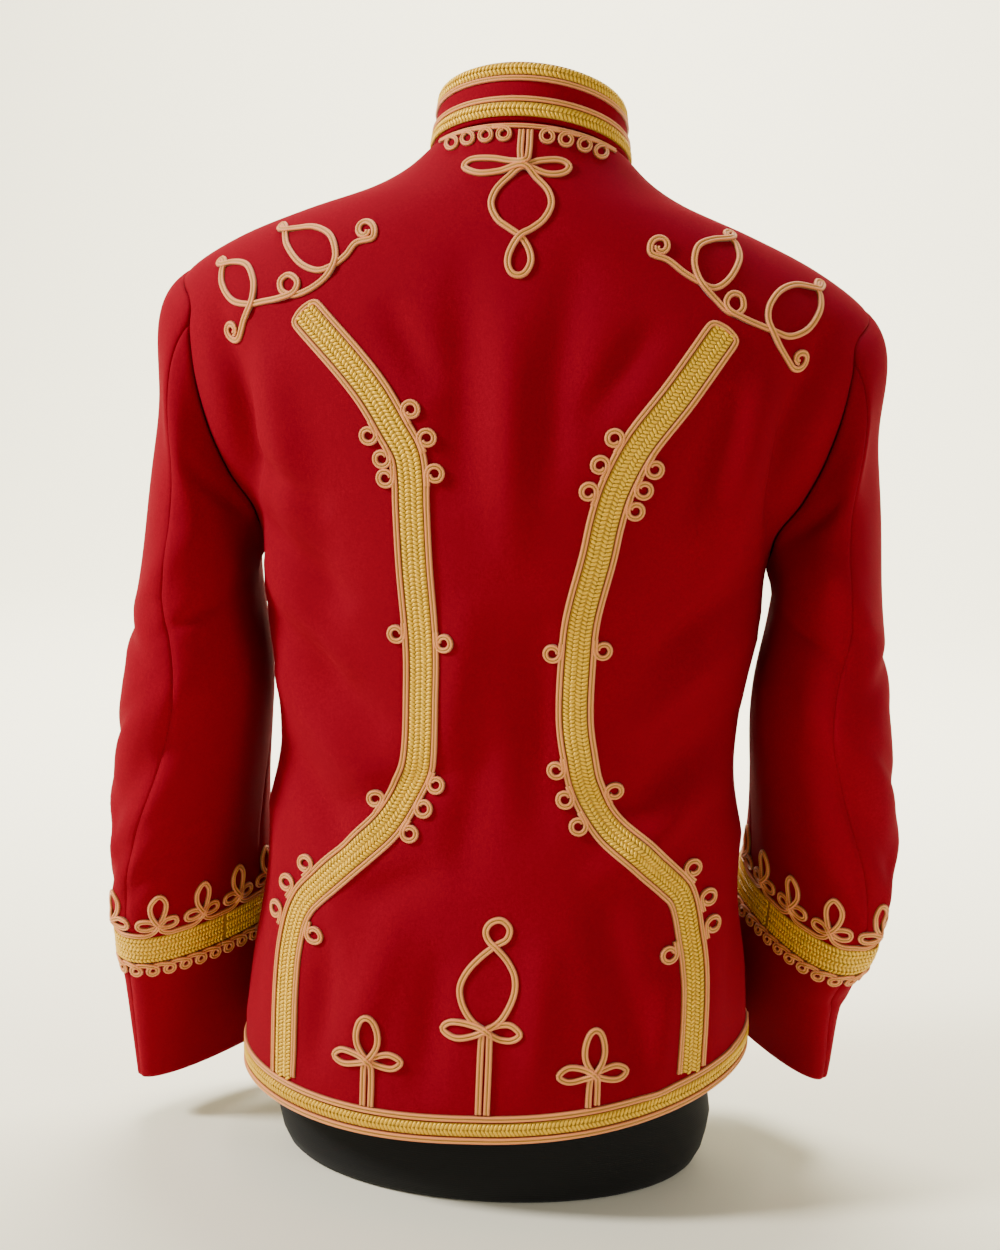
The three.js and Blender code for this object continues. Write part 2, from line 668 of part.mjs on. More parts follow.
// a path that comes down to the hem's trim ends on it
function cutAtHem(path) {
  const above = path.filter(([x, z]) => z > hemHeightAt(x) + 0.5);
  const [x1, z1] = above[above.length - 1];
  const [x2, z2] = path[above.length] ?? [x1, z1 - 10];
  const t = Math.min((z1 - hemHeightAt(x1)) / Math.max(z1 - z2, 0.1), 1);
  return [...above, [mix(x1, x2, t), hemHeightAt(mix(x1, x2, t))]];
}

const hemColumns = [1.1];
for (let c = 2; c < leftEnd; c += 1) if (c !== backStart && c !== leftStart) hemColumns.push(c);
hemColumns.push(leftEnd - 0.1);
const hemPath = (height) => hemColumns.map((column) => [column, height]);

// the lace band of each side of the back, from behind the shoulder to the hem
const bandPoints = {
  left: [[130, 585], [103, 559], [86, 540], [72, 519], [63, 504], [60, 488], [59, 471], [56, 432],
    [51, 384], [50, 349], [51, 307], [59, 284], [70, 262], [90, 240], [112, 217], [127, 199],
    [134, 177], [137, 142], [137, 60]],
  right: [[128, 583], [105, 548], [82, 516], [69, 489], [63, 467], [59, 444], [51, 407], [49, 380],
    [49, 340], [53, 313], [59, 292], [73, 268], [94, 248], [115, 229], [124, 218], [130, 196],
    [136, 155], [136, 60]],
};
// curls on a band's edging cord: distance down the band and side, 1 towards the armhole
const bandCurls = {
  left: table(['down', 'side'], [[87, 1], [105, 1], [123, 1], [224, 1], [350, 1], [424, 1], [443, 1],
    [460, 1], [86, -1], [105, -1], [122, -1], [230, -1], [320, -1], [337, -1], [354, -1],
    [461, -1]]),
  right: table(['down', 'side'], [[93, 1], [109, 1], [125, 1], [221, 1], [326, 1], [411, 1], [428, 1],
    [446, 1], [89, -1], [106, -1], [122, -1], [225, -1], [300, -1], [317, -1], [334, -1],
    [454, -1]]),
};
const sideName = (side) => (side > 0 ? 'right' : 'left');
const coilRadius = 6.2;        // a curl of the cord, wound close
const coilReach = 5;           // from the edging cord's middle to the coil's
const pathSpacing = 20;
const fineSpacing = 2;

function mirrored(path, side) {
  return path.map(([x, z]) => [side * x, z]);
}

function bandPath(side) {
  const path = cutAtHem(mirrored(smoothPath(bandPoints[sideName(side)], pathSpacing), side));
  path[0] = path[0].map((value, i) => mix(value, path[1][i], 0.2));
  return path;
}

function bandCord(side) {
  const whole = mirrored(smoothPath(bandPoints[sideName(side)], pathSpacing), side);
  const edges = [1, -1].map((s) => cutAtHem(shifted(onBack, whole, s * cordOffset)));
  const top = onBack(whole[0]);
  const down = onBack(whole[1]).p.sub(top.p).normalize();
  const across = new THREE.Vector3().crossVectors(down, top.n).normalize();
  const roundEnd = [45, 90, 135].map((degrees) => {
    const offset = across.clone().multiplyScalar(Math.cos(degrees * rad))
      .addScaledVector(down, -Math.sin(degrees * rad)).multiplyScalar(cordOffset);
    return surfaceStep(onBack, whole[0], offset);
  });
  const run = [...edges[0].slice().reverse(), ...roundEnd, ...edges[1]];
  const fine = mirrored(smoothPath(bandPoints[sideName(side)], fineSpacing), side);
  const places = bandCurls[sideName(side)];
  const curls = places.down.map((distance, i) => {
    const spot = Math.min(Math.round(distance / fineSpacing), fine.length - 2);
    const frame = pathFrames(onBack, fine.slice(spot - 1, spot + 2), false)[1];
    const out = frame.across.clone().multiplyScalar(places.side[i] * side
      * (cordOffset + coilReach));
    const centre = surfaceStep(onBack, frame.place, out);
    return coil(onBack, centre, coilRadius);
  });
  return joined([cord(onBack, run), ...curls]);
}

// a stem of two cords side by side
function stem(x, low, high) {
  const run = smoothPath([[x, high], [x, low]], 20);
  return cord(onBack, low < 100 ? cutAtHem(run) : run, false, cordWidth * 1.8);
}

// the figure behind the neck: a double stem, two side loops, an eye and a drop
function neckKnot() {
  const crossing = [0, 682];
  const waist = [0, 641];
  return joined([
    stem(0, 682, 706),
    cord(onBack, dropFigure(crossing, [36, 683], 5, 8), true),
    cord(onBack, dropFigure(crossing, [-36, 683], 5, 8), true),
    cord(onBack, eyeSide([0, 684], waist, 17, 7)),
    cord(onBack, eyeSide([0, 684], waist, -17, 7)),
    cord(onBack, dropFigure([0, 643], [0, 615], 8.5, 9), true),
  ]);
}

// the knot over each shoulder: two eyes and a ring on a winding cord with a coil at each end
function shoulderKnot(side) {
  const winding = smoothPath([[97, 633], [105, 624], [113, 615], [127, 606], [138, 600], [150, 597],
    [168, 591], [176, 585], [180, 576]], 12);
  const figures = [
    [winding, false],
    [spiralFigure([93, 637], 7, 2.6, -40, 395, 8), false],
    [spiralFigure([184, 573], 7, 2.6, 140, 395, 8), false],
    [dropFigure([115, 612], [144, 637], 13, 9), true],
    [ringFigure([138, 602], 5.6, 5.6, 6), true],
    [dropFigure([167, 589], [191, 611], 12, 8), true],
  ];
  const coils = [[146, 639], [193, 614]].map(([x, z]) => coil(onBack, [side * x, z], 5));
  return joined([...figures.map(([path, closed]) => cord(onBack, mirrored(path, side), closed)),
    ...coils]);
}

// the figure that stands on the hem lace at the centre
function tailKnot() {
  const crossing = [0, 133];
  const top = [3, 187];
  return joined([
    stem(0, 60, 133),
    cord(onBack, dropFigure(crossing, [-28, 132], 6, 8), true),
    cord(onBack, dropFigure(crossing, [26, 132], 6, 8), true),
    cord(onBack, eyeSide([0, 131], top, 17, 7)),
    cord(onBack, eyeSide([0, 131], top, -17, 7)),
    cord(onBack, ringFigure([5, 195], 7, 7.5, 9), true),
  ]);
}

// a trefoil beside it: one cord goes up the stem, round the three loops and down again
const trefoilAcross = 73;
const trefoilOutline = table(
  ['aside', 'z'],
  [[0, 136], [5.6, 131], [6.3, 122], [3.6, 113], [8.5, 110], [18, 109.5], [23, 104], [18, 98.5],
    [9, 97.5], [2.7, 96], [2.7, 80], [2.7, 60]],
);
function tailTrefoil(side) {
  const half = (way) => cutAtHem(smoothPath(trefoilOutline.aside.map((aside, i) => (
    [side * trefoilAcross + way * aside, trefoilOutline.z[i]])), 5));
  return cord(onBack, [...half(-1).reverse(), ...half(1).slice(1)]);
}

// ---------------------------------------------------------------- collar
const centreHalfGap = 0.5;
const throat = torsoPoint(Math.PI, neckRing);
const collarRun = torso[neckRow].filter((_, c) => c >= 2 && c < leftEnd - 1 && c !== backStart
  && c !== leftStart && c % 2 === 0);
const collarColumns = [new THREE.Vector3(centreHalfGap, throat.y, throat.z),
  ...collarRun.map((vertex) => vertex.p.clone()),
  new THREE.Vector3(-centreHalfGap, throat.y, throat.z)];
const collarHeights = [0, 0.5, 1];
const collarPoints = collarHeights.map((h) => collarColumns.map((p) => new THREE.Vector3(
  p.x * mix(1, collarTaper[0], h), p.y * mix(1, collarTaper[1], h), p.z + collarLift + collarRise * h)));
const collar = collarPoints.map((row, i) => row.map((p, j) => {
  const next = row[Math.min(j + 1, row.length - 1)];
  const before = row[Math.max(j - 1, 0)];
  const up = collarPoints[2][j].clone().sub(collarPoints[0][j]);
  const n = up.cross(next.clone().sub(before)).normalize();
  return { p: p.clone(), n };
}));
const collarWide = collarColumns.length - 1;
const onCollar = ([column, height]) => onGrid(collar, (height / collarRise) * 2, column);
onCollar.lift = trimLift.collar;
const collarPath = (height) => Array.from({ length: collarWide - 1 }, (_, i) => [i + 1, height]);
const collarTrims = [
  ['collar_cord_low', 13.6, 'cord', 3.6],
  ['collar_lace_low', 7, 'lace', 8],
  ['collar_lace_top', 32.2, 'lace', 6.6],
  ['collar_cord_top', 26.5, 'cord', 3.6],
];

// scalloped cord on the back, just under the collar seam
function neckCord() {
  const run = [];
  for (let x = -54; x <= 54; x += 9) run.push([x, neckCordHeight(x)]);
  const curls = [14, 27, 40, 51].flatMap((x) => [x, -x]).map((x) => (
    coil(onBack, [x, neckCordHeight(x) - 4.8], 5)));
  return joined([cord(onBack, run, false, cordWidth * 0.8), ...curls]);
}
function neckCordHeight(x) {
  return ringPoint(angleAt(x, neckRing), neckRing, rings.half[neckRing]).z - 3.4;
}

// ---------------------------------------------------------------- trims of a cuff
// from a cuff's edge up to the middle of its lace, and how much further at the back of the arm
const cuffLace = { right: { middle: 115, lean: 8 }, left: { middle: 108, lean: 4 } };
const cuffGap = 1.8;             // more room between its lace and cords, which bend more there
const trefoilPitch = 34;
const scallopPitch = 12;
// right half of a trefoil's outline, from the middle between two of them
const trefoilHalf = [[17, 0], [3, 0.5], [3.4, 7], [13.5, 7], [12, 14], [4.6, 14.5], [6.4, 27],
  [0, 34]];
const scallop = [[-3.4, 0], [0, -9], [3.4, 0]];
const laceSpacing = 12;        // between two cross sections of the cuff's lace
function cuffTrims(side) {
  const { middle: cuffLaceMiddle, lean } = cuffLace[side];
  const grid = sleeves[side].slice().reverse().map((row) => [...row, row[0]]);
  const heights = grid[0].map((_, c) => {
    const list = [0];
    for (let i = 1; i < grid.length; i += 1) {
      list.push(list[i - 1] + grid[i][c].p.distanceTo(grid[i - 1][c].p));
    }
    return list;
  });
  const rowAt = (column, height) => {
    const c = ((column % sleeveColumnCount) + sleeveColumnCount) % sleeveColumnCount;
    const j = Math.floor(c);
    const [a, b] = [fractionalIndex(heights[j], height), fractionalIndex(heights[j + 1], height)];
    return [mix(a, b, c - j), c];
  };
  const arc = [0];
  for (let c = 1; c <= sleeveColumnCount; c += 1) {
    const here = onGrid(grid, ...rowAt(c - 1e-6, cuffLaceMiddle)).p;
    arc.push(arc[c - 1] + here.distanceTo(onGrid(grid, ...rowAt(c - 1, cuffLaceMiddle)).p));
  }
  const girth = arc[sleeveColumnCount];
  // place on the cuff: distance round it and height above its edge
  const onCuff = ([round, height]) => {
    const turnRound = ((round % girth) + girth) % girth;
    const rise = lean * Math.sin((2 * Math.PI * turnRound) / girth);
    const [row, column] = rowAt(fractionalIndex(arc, turnRound), height + rise);
    const i = Math.min(Math.floor(row), grid.length - 2);
    return sleeves[side].at(column, mix(grid[i][0].down, grid[i + 1][0].down, row - i));
  };
  onCuff.lift = trimLift.cuff;
  const laceSteps = Math.round(girth / laceSpacing);
  const ringAt = (height) => steps(laceSteps, 0, girth).map((round) => [round, height]);
  const edge = cuffLaceWidth / 2 + braidGap + cordWidth / 2 + cuffGap;
  const high = cuffLaceMiddle + edge;
  const low = cuffLaceMiddle - edge;
  // one cord goes round each edge of the lace and leaves it to draw each figure
  const chain = (figure, pitch, height) => {
    const count = Math.round(girth / pitch);
    return Array.from({ length: count }, (_, i) => figure.map(([u, v]) => [
      girth * ((i + 0.5) / count) + u * (Math.abs(u) > pitch * 0.4 ? girth / count / pitch : 1),
      height + v])).flat();
  };
  const trefoil = [...trefoilHalf.map(([u, v]) => [-u, v]), ...trefoilHalf.slice(0, -1).reverse()];
  return {
    lace: lace(onCuff, ringAt(cuffLaceMiddle), cuffLaceWidth, true),
    cord_high: cord(onCuff, chain(trefoil, trefoilPitch, high), true, 3.6),
    cord_low: cord(onCuff, chain(scallop, scallopPitch, low), true, 3.6),
  };
}

// ---------------------------------------------------------------- dress form
// Bottom rings of the form, below the cloth's lowest ring: height, half width, back and front.
const formFoot = table(
  ['z', 'half', 'back', 'front'],
  [[0, 139, 95, 88], [3.5, 146, 101, 94], [13, 151, 105, 99], [36, 155, 108, 102]],
);
// the neck stump inside the collar: rise above the neck ring and size against it
const neckStump = table(['rise', 'size'], [[1, 0.915], [8, 0.86], [15, 0.83], [19, 0.77]]);
const formColumns = 24;
const formRowStep = 1;

function formSurface(angle, place) {
  const half = Math.min(along(rings.half, place), along(rings.formHalf, place));
  return ringPoint(angle, Math.min(place, neckRing), half);
}

function formRing(index) {
  return Array.from({ length: formColumns }, (_, j) => index(((360 * j) / formColumns) * rad));
}

function dressForm() {
  const rows = formFoot.z.map((z, i) => formRing((angle) => new THREE.Vector3(
    formFoot.half[i] * Math.sin(angle),
    -(Math.cos(angle) > 0 ? formFoot.back[i] : formFoot.front[i]) * Math.cos(angle), z)));
  for (let place = 0.25; place <= neckRing + 1e-9; place += place < 12.4 ? formRowStep : 0.6) {
    rows.push(formRing((angle) => {
      const at = Math.min(place, neckRing);
      const n = surfaceNormal(formSurface, angle, Math.min(at, neckRing - 0.06), 0.02, 0.05);
      const p = formSurface(angle, at);
      const lapped = Math.cos(angle) < 0 && Math.abs(p.x) < 45 ? lapRoom : 0;
      return p.addScaledVector(n, -along(rings.formInset, at) - lapped);
    }));
  }
  neckStump.rise.forEach((rise, i) => rows.push(formRing((angle) => {
    const p = ringPoint(angle, neckRing, rings.half[neckRing]);
    return new THREE.Vector3(p.x * neckStump.size[i], p.y * neckStump.size[i], p.z + rise);
  })));
  const points = rows.flat();
  const faces = [];
  const at = (i, j) => i * formColumns + (j % formColumns);
  for (let i = 0; i < rows.length - 1; i += 1) {
    for (let j = 0; j < formColumns; j += 1) {
      faces.push([at(i, j), at(i, j + 1), at(i + 1, j + 1)], [at(i, j), at(i + 1, j + 1), at(i + 1, j)]);
    }
  }
  [[0, false], [rows.length - 1, true]].forEach(([row, top]) => {
    const middle = rows[row].reduce((sum, p) => sum.add(p), new THREE.Vector3())
      .divideScalar(formColumns);
    const hub = points.push(middle) - 1;
    for (let j = 0; j < formColumns; j += 1) {
      faces.push(top ? [hub, at(row, j), at(row, j + 1)] : [hub, at(row, j + 1), at(row, j)]);
    }
  });
  return bufferSolid(points, faces);
}

// ---------------------------------------------------------------- buttons
function button() {
  const profile = [[0, 0], [buttonRadius, 0.8], [buttonRadius * 0.75, 4.2], [0, buttonHeight]]
    .map(([r, h]) => new THREE.Vector2(r, h));
  return new THREE.LatheGeometry(profile, 10);
}

// ---------------------------------------------------------------- the whole
const group = new THREE.Group();
function add(name, geometry, colour, roughness, metalness = 0) {
  const material = new THREE.MeshStandardMaterial({ color: colour, roughness, metalness });
  const mesh = new THREE.Mesh(geometry, material);
  mesh.name = name;
  group.add(mesh);
  return mesh;
}
const addCloth = (name, geometry) => add(name, geometry, clothRed, 0.9);
const addLace = (name, geometry) => add(name, geometry, laceGold, 0.5, 0.5);
const addCord = (name, geometry) => add(name, geometry, cordSalmon, 0.6, 0.1);

add('dress_form', dressForm(), formBlack, 0.7);
Object.entries(panels).forEach(([name, [from, to]]) => {
  addCloth(name, clothPanel(torso, from, to, (row, column) => mitres.get(`torso ${row} ${column}`)));
});
addCloth('collar', clothPanel(collar, 0, collarWide));

Object.entries(sleeves).forEach(([side, grid]) => {
  const hind = seamColumn(grid, sleeveSeams.hind[0]);
  const fore = seamColumn(grid, sleeveSeams.fore[0]);
  const count = sleeveColumnCount;
  const round = grid.map((row) => [...row, ...row]);
  const mitre = (row, column) => (row === 0 ? mitres.get(`${side} ${column % count}`) : null);
  addCloth(`sleeve_top_${side}`, clothPanel(round, hind, fore, mitre));
  addCloth(`sleeve_under_${side}`, clothPanel(round, fore, hind + count, mitre));
  const trims = cuffTrims(side);
  addLace(`cuff_lace_${side}`, trims.lace);
  addCord(`cuff_cord_high_${side}`, trims.cord_high);
  addCord(`cuff_cord_low_${side}`, trims.cord_low);
  const turn = side === 'right' ? 1 : -1;
  addLace(`back_lace_${side}`, lace(onBack, bandPath(turn)));
  addCord(`back_cord_${side}`, bandCord(turn));
  addCord(`shoulder_knot_${side}`, shoulderKnot(turn));
  addCord(`tail_trefoil_${side}`, tailTrefoil(turn));
});
addCord('neck_knot', neckKnot());
addCord('neck_cord', neckCord());
addCord('tail_knot', tailKnot());
addCord('hem_cord_low', cord(onHem, hemPath(hemCordLow)));
addLace('hem_lace', lace(onHem, hemPath(hemLaceMiddle), hemLaceWidth));
addCord('hem_cord_high', cord(onHem, hemPath(hemCordHigh)));
collarTrims.forEach(([name, height, kind, width]) => {
  if (kind === 'lace') addLace(name, lace(onCollar, collarPath(height), width));
  else addCord(name, cord(onCollar, collarPath(height), false, width));
});

for (let i = 0; i < buttonCount; i += 1) {
  const place = mix(0.6, neckRing - 0.9, i / (buttonCount - 1));
  const row = fractionalIndex(rowPlaces, place);
  const { p, n } = onGrid(torso, row, leftEnd - 0.3);
  const mesh = add(`button_${i + 1}`, button(), laceGold, 0.3, 0.9);
  mesh.position.copy(p.addScaledVector(n, trimLift.button));
  mesh.quaternion.setFromUnitVectors(new THREE.Vector3(0, 1, 0), n);
}

// the part stands over its origin at the middle of its own box
const box = new THREE.Box3().setFromObject(group);
const middle = box.getCenter(new THREE.Vector3());
group.position.set(-middle.x, -middle.y, -box.min.z);

export default group;
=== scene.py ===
# A hussar tunic of red melton on a black dress form, in metres, +Z up, its back towards -Y.
# Sizes in the tables are millimetres. Each section makes one piece or group of like pieces.

import math

import bpy
import numpy as np
from mathutils import Matrix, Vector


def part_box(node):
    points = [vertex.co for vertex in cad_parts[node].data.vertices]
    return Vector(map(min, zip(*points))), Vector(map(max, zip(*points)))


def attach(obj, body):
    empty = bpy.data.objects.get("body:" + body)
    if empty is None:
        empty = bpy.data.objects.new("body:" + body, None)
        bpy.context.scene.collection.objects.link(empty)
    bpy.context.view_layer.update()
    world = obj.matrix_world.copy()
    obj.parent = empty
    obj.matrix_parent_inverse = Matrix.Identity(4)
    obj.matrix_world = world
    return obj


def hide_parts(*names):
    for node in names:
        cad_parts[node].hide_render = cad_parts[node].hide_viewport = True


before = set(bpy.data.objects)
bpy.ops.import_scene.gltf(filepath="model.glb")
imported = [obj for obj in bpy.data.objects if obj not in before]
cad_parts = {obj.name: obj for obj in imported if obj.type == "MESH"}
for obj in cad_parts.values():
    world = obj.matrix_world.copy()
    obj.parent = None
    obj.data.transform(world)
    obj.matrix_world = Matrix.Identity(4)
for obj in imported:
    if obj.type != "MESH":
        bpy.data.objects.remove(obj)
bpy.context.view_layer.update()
scene = bpy.context.scene


# ------------------------------------------------------------------ dress form
# A smooth limbless tailor's form: hard foam under a tight cover of matt black cotton jersey, with a
# flat base that it stands on and a short neck inside the collar.

MM = 0.001
SHIFT = np.array([2.208, 2.175, 0.0])   # the wearer's centre line, from the middle of the part's box


def table(names, rows):
    return {name: np.array([row[i] for row in rows], float) for i, name in enumerate(names)}


# rings from the hem to the neck seam; armhole is how far round a panel reaches, in degrees
rings = table(
    ["z", "half", "back", "front", "square", "tilt", "armhole", "form_half", "form_inset"],
    [
        [66, 177, 128, 118, 2.3, 0, 90, 159, 15],
        [140, 176, 125, 117, 2.35, 0, 90, 160, 14],
        [220, 168, 114, 112, 2.3, 0, 90, 154, 13],
        [300, 161, 106, 110, 2.25, 0, 90, 147, 12],
        [370, 169, 111, 115, 2.25, 0, 90, 155, 12],
        [425, 177, 118, 120, 2.25, 0, 90, 163, 12],
        [452, 186, 120, 120, 2.25, 0, 76, 167, 12],
        [480, 205, 121, 117, 2.2, 0, 68, 171, 12],
        [510, 223, 120, 112, 2.2, 0, 64, 175, 11],
        [540, 236, 117, 105, 2.2, 0, 62, 179, 10],
        [565, 240, 112, 99, 2.15, 1, 63, 184, 9],
        [587, 235, 107, 92, 2.1, 2, 68, 189, 8],
        [608, 224, 100, 84, 2.0, 3, 90, 192, 5.5],
        [629, 192, 92, 74, 1.95, 7, 90, 184, 3.8],
        [645, 153, 84, 66, 1.95, 11, 90, 153, 3.3],
        [658, 112, 76, 62, 1.95, 15, 90, 112, 3.3],
        [671, 86, 68, 62, 2.0, 18, 90, 86, 3.5],
        [688, 66, 61, 64, 2.0, 21, 90, 66, 4.3],
    ],
)
ARMPIT, SHOULDER, NECK = 5, 12, 17
HEM_DIP_BACK, HEM_DIP_FRONT, HEM_SKEW = 11, 7, 14
SHOULDER_SKEW = 0.02


def along(values, place):
    """Smooth value of a list at fractional places."""
    values = np.asarray(values, float)
    last = len(values) - 1
    u = np.clip(place, 0, last)
    i = np.minimum(u.astype(int), last - 1)
    t = u - i
    p0, p1 = values[np.maximum(i - 1, 0)], values[i]
    p2, p3 = values[i + 1], values[np.minimum(i + 2, last)]
    m1, m2 = (p2 - p0) / 2, (p3 - p1) / 2
    return ((2 * t**3 - 3 * t**2 + 1) * p1 + (t**3 - 2 * t**2 + t) * m1
            + (3 * t**2 - 2 * t**3) * p2 + (t**3 - t**2) * m2)


def travel(points):
    """The distance travelled to each of a row of points."""
    return np.concatenate([[0], np.cumsum(np.linalg.norm(np.diff(points, axis=0), axis=-1))])


def resample(points, run, at):
    """Points in any number of columns, at new places along their run."""
    return np.stack([np.interp(at, run, points[:, k]) for k in range(points.shape[1])], -1)


def signed_power(value, power):
    return np.sign(value) * np.abs(value) ** power


def unit(v):
    return v / np.maximum(np.linalg.norm(v, axis=-1, keepdims=True), 1e-9)


def ring_point(angle, place, half):
    s, c = np.sin(angle), np.cos(angle)
    power = 2 / along(rings["square"], place)
    depth = np.where(c > 0, along(rings["back"], place), along(rings["front"], place))
    x = half * signed_power(s, power)
    y = -depth * signed_power(c, power)
    dip = np.where(c > 0, HEM_DIP_BACK, HEM_DIP_FRONT) * (1 - 2 * c * c) + HEM_SKEW * s
    near_hem = np.maximum(0, 1 - place / 1.6)
    skew = SHOULDER_SKEW * np.clip((place - 4) / 6, 0, 1)
    z = (along(rings["z"], place) - np.tan(np.radians(along(rings["tilt"], place))) * y
         + dip * near_hem - skew * x)
    return np.stack([x, y, z], -1)


def normal_of(point, a, b, step_a, step_b):
    da = point(a + step_a, b) - point(a - step_a, b)
    db = point(a, b + step_b) - point(a, b - step_b)
    return unit(np.cross(da, db))


def linear(code):
    """sRGB hex to linear RGBA."""
    parts = [((code >> shift) & 255) / 255 for shift in (16, 8, 0)]
    return [p / 12.92 if p <= 0.04045 else ((p + 0.055) / 1.055) ** 2.4 for p in parts] + [1.0]


def node(tree, kind, links=None, **settings):
    """Adds a node. A setting named as an input sets that input, and links join outputs to inputs."""
    made = tree.nodes.new(kind)
    for name, value in settings.items():
        if hasattr(made, name):
            setattr(made, name, value)
        else:
            made.inputs[name.replace("_", " ")].default_value = value
    for name, source in (links or {}).items():
        tree.links.new(source, made.inputs[name])
    return made


def new_material(name):
    material = bpy.data.materials.new(name)
    material.use_nodes = True
    material.node_tree.nodes.clear()
    return material, material.node_tree


def noise(tree, size, detail, **settings):
    """Noise in the object's own places, with spots of about a size in mm."""
    places = node(tree, "ShaderNodeTexCoord")
    return node(tree, "ShaderNodeTexNoise", {"Vector": places.outputs["Object"]}, Scale=1 / (size * MM),
                Detail=detail, **settings).outputs["Fac"]


def waves(tree, places, way, pitch, **settings):
    """Even waves across one axis, a pitch in mm apart."""
    return node(tree, "ShaderNodeTexWave", {"Vector": places}, bands_direction=way,
                Scale=2 * math.pi / 20 / (pitch * MM), **settings).outputs["Fac"]


def two_tone(tree, factor, low, high):
    """A colour between two, each an sRGB code or another node's colour."""
    made = node(tree, "ShaderNodeMix", {"Factor": factor}, data_type="RGBA")
    for slot, colour in ((6, low), (7, high)):
        if isinstance(colour, int):
            made.inputs[slot].default_value = linear(colour)
        else:
            tree.links.new(colour, made.inputs[slot])
    return made.outputs[2]


def dress(tree, links, height=None, strength=0.0, deep=0.0, **settings):
    """The material's shader and output, with a bump of a height in mm where one is given."""
    if height is not None:
        dent = node(tree, "ShaderNodeBump", {"Height": height}, Strength=strength, Distance=deep * MM)
        links = {**links, "Normal": dent.outputs[0]}
    shader = node(tree, "ShaderNodeBsdfPrincipled", links, **settings)
    node(tree, "ShaderNodeOutputMaterial", {"Surface": shader.outputs[0]})


def mesh_object(name, points, faces, material, uvs=None, sharp=None):
    """A smooth mesh object at the origin; points are millimetres from the wearer's centre line."""
    mesh = bpy.data.meshes.new(name)
    mesh.from_pydata(((np.asarray(points) + SHIFT) * MM).tolist(), [], faces)
    if uvs is not None:
        layer = mesh.uv_layers.new(name="UVMap")
        layer.data.foreach_set("uv", np.asarray(uvs, float).ravel())
    mesh.shade_smooth()
    if sharp:
        mesh.set_sharp_from_angle(angle=math.radians(sharp))
    mesh.materials.append(material)
    made = bpy.data.objects.new(name, mesh)
    scene.collection.objects.link(made)
    return made


def outward(points, faces):
    """The faces turned so that the closed mesh's volume is positive, and whether they were turned."""
    points = np.asarray(points)
    fans = np.array([(f[0], f[k], f[k + 1]) for f in faces for k in range(1, len(f) - 1)])
    a, b, c = (points[fans[:, k]] for k in range(3))
    turned = bool(np.einsum("ij,ij->i", a, np.cross(b, c)).sum() < 0)
    return ([f[::-1] for f in faces] if turned else faces), turned


def settle(piece, cad_node):
    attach(piece, "root")
    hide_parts(cad_node)


# black cotton jersey, matt and slightly hairy: knit ribs 1.6 mm apart, drawn a little coarser than real
jersey, tree = new_material("cotton_jersey_black")
places = node(tree, "ShaderNodeTexCoord").outputs["Object"]
ribs = waves(tree, places, "Z", 1.6, Distortion=1.2, Detail=2.0)
fluff = node(tree, "ShaderNodeTexNoise", {"Vector": places}, Scale=900.0, Detail=3.0).outputs["Fac"]
dress(tree, {"Base Color": two_tone(tree, fluff, 0x050505, 0x0C0C0D)}, ribs, 0.25, 0.3,
      Roughness=0.85, Sheen_Weight=0.04, Sheen_Roughness=0.5, Specular_IOR_Level=0.2)

form_foot = table(
    ["z", "half", "back", "front"],
    [[0, 139, 95, 88], [1.2, 143.5, 99, 92], [4, 146.5, 101.5, 95], [13, 151, 105, 99], [24, 153.5, 107, 101],
     [36, 155, 108, 102]],
)
neck_stump = table(["rise", "size"],
                   [[1, 0.915], [5, 0.88], [10, 0.845], [15, 0.83], [17.5, 0.81], [19, 0.77]])
FORM_COLUMNS = 144
FORM_FIRST, FORM_STEP = 0.25, 0.1675    # places of the skin's rows
LAP_ROOM = 3                            # how far the skin sinks under the fronts' lap
LAP_ROOM_HALF, LAP_ROOM_FADE = 60, 15


def form_skin(angle, place):
    half = np.minimum(along(rings["half"], place), along(rings["form_half"], place))
    return ring_point(angle, np.minimum(place, NECK), half)


form_angles = np.radians(np.arange(FORM_COLUMNS) * 360 / FORM_COLUMNS)
form_rows = []
for i in range(len(form_foot["z"])):
    depth = np.where(np.cos(form_angles) > 0, form_foot["back"][i], form_foot["front"][i])
    form_rows.append(np.stack([form_foot["half"][i] * np.sin(form_angles), -depth * np.cos(form_angles),
                               np.full(FORM_COLUMNS, form_foot["z"][i])], -1))
for place in np.arange(FORM_FIRST, NECK + 0.001, FORM_STEP):
    at = np.full(FORM_COLUMNS, place)
    skin = form_skin(form_angles, at)
    n = normal_of(form_skin, form_angles, np.minimum(at, NECK - 0.06), 0.02, 0.05)
    lapped = np.clip((LAP_ROOM_HALF - np.abs(skin[:, 0])) / LAP_ROOM_FADE, 0, 1) * (np.cos(form_angles) < 0)
    form_rows.append(skin - n * (along(rings["form_inset"], at) + LAP_ROOM * lapped)[:, None])
neck_base = ring_point(form_angles, np.full(FORM_COLUMNS, float(NECK)), rings["half"][NECK])
for rise, size in zip(neck_stump["rise"], neck_stump["size"]):
    form_rows.append(neck_base * [size, size, 1] + [0, 0, rise])
points = np.concatenate(form_rows)
faces = []
for i in range(len(form_rows) - 1):
    for j in range(FORM_COLUMNS):
        a, b = i * FORM_COLUMNS + j, i * FORM_COLUMNS + (j + 1) % FORM_COLUMNS
        faces.append((a, b, b + FORM_COLUMNS, a + FORM_COLUMNS))
last_ring = len(points) - FORM_COLUMNS
faces.append(tuple(range(FORM_COLUMNS))[::-1])
faces.append(tuple(range(last_ring, last_ring + FORM_COLUMNS)))
form = mesh_object("form", points, faces, jersey, sharp=40)
settle(form, "dress_form")


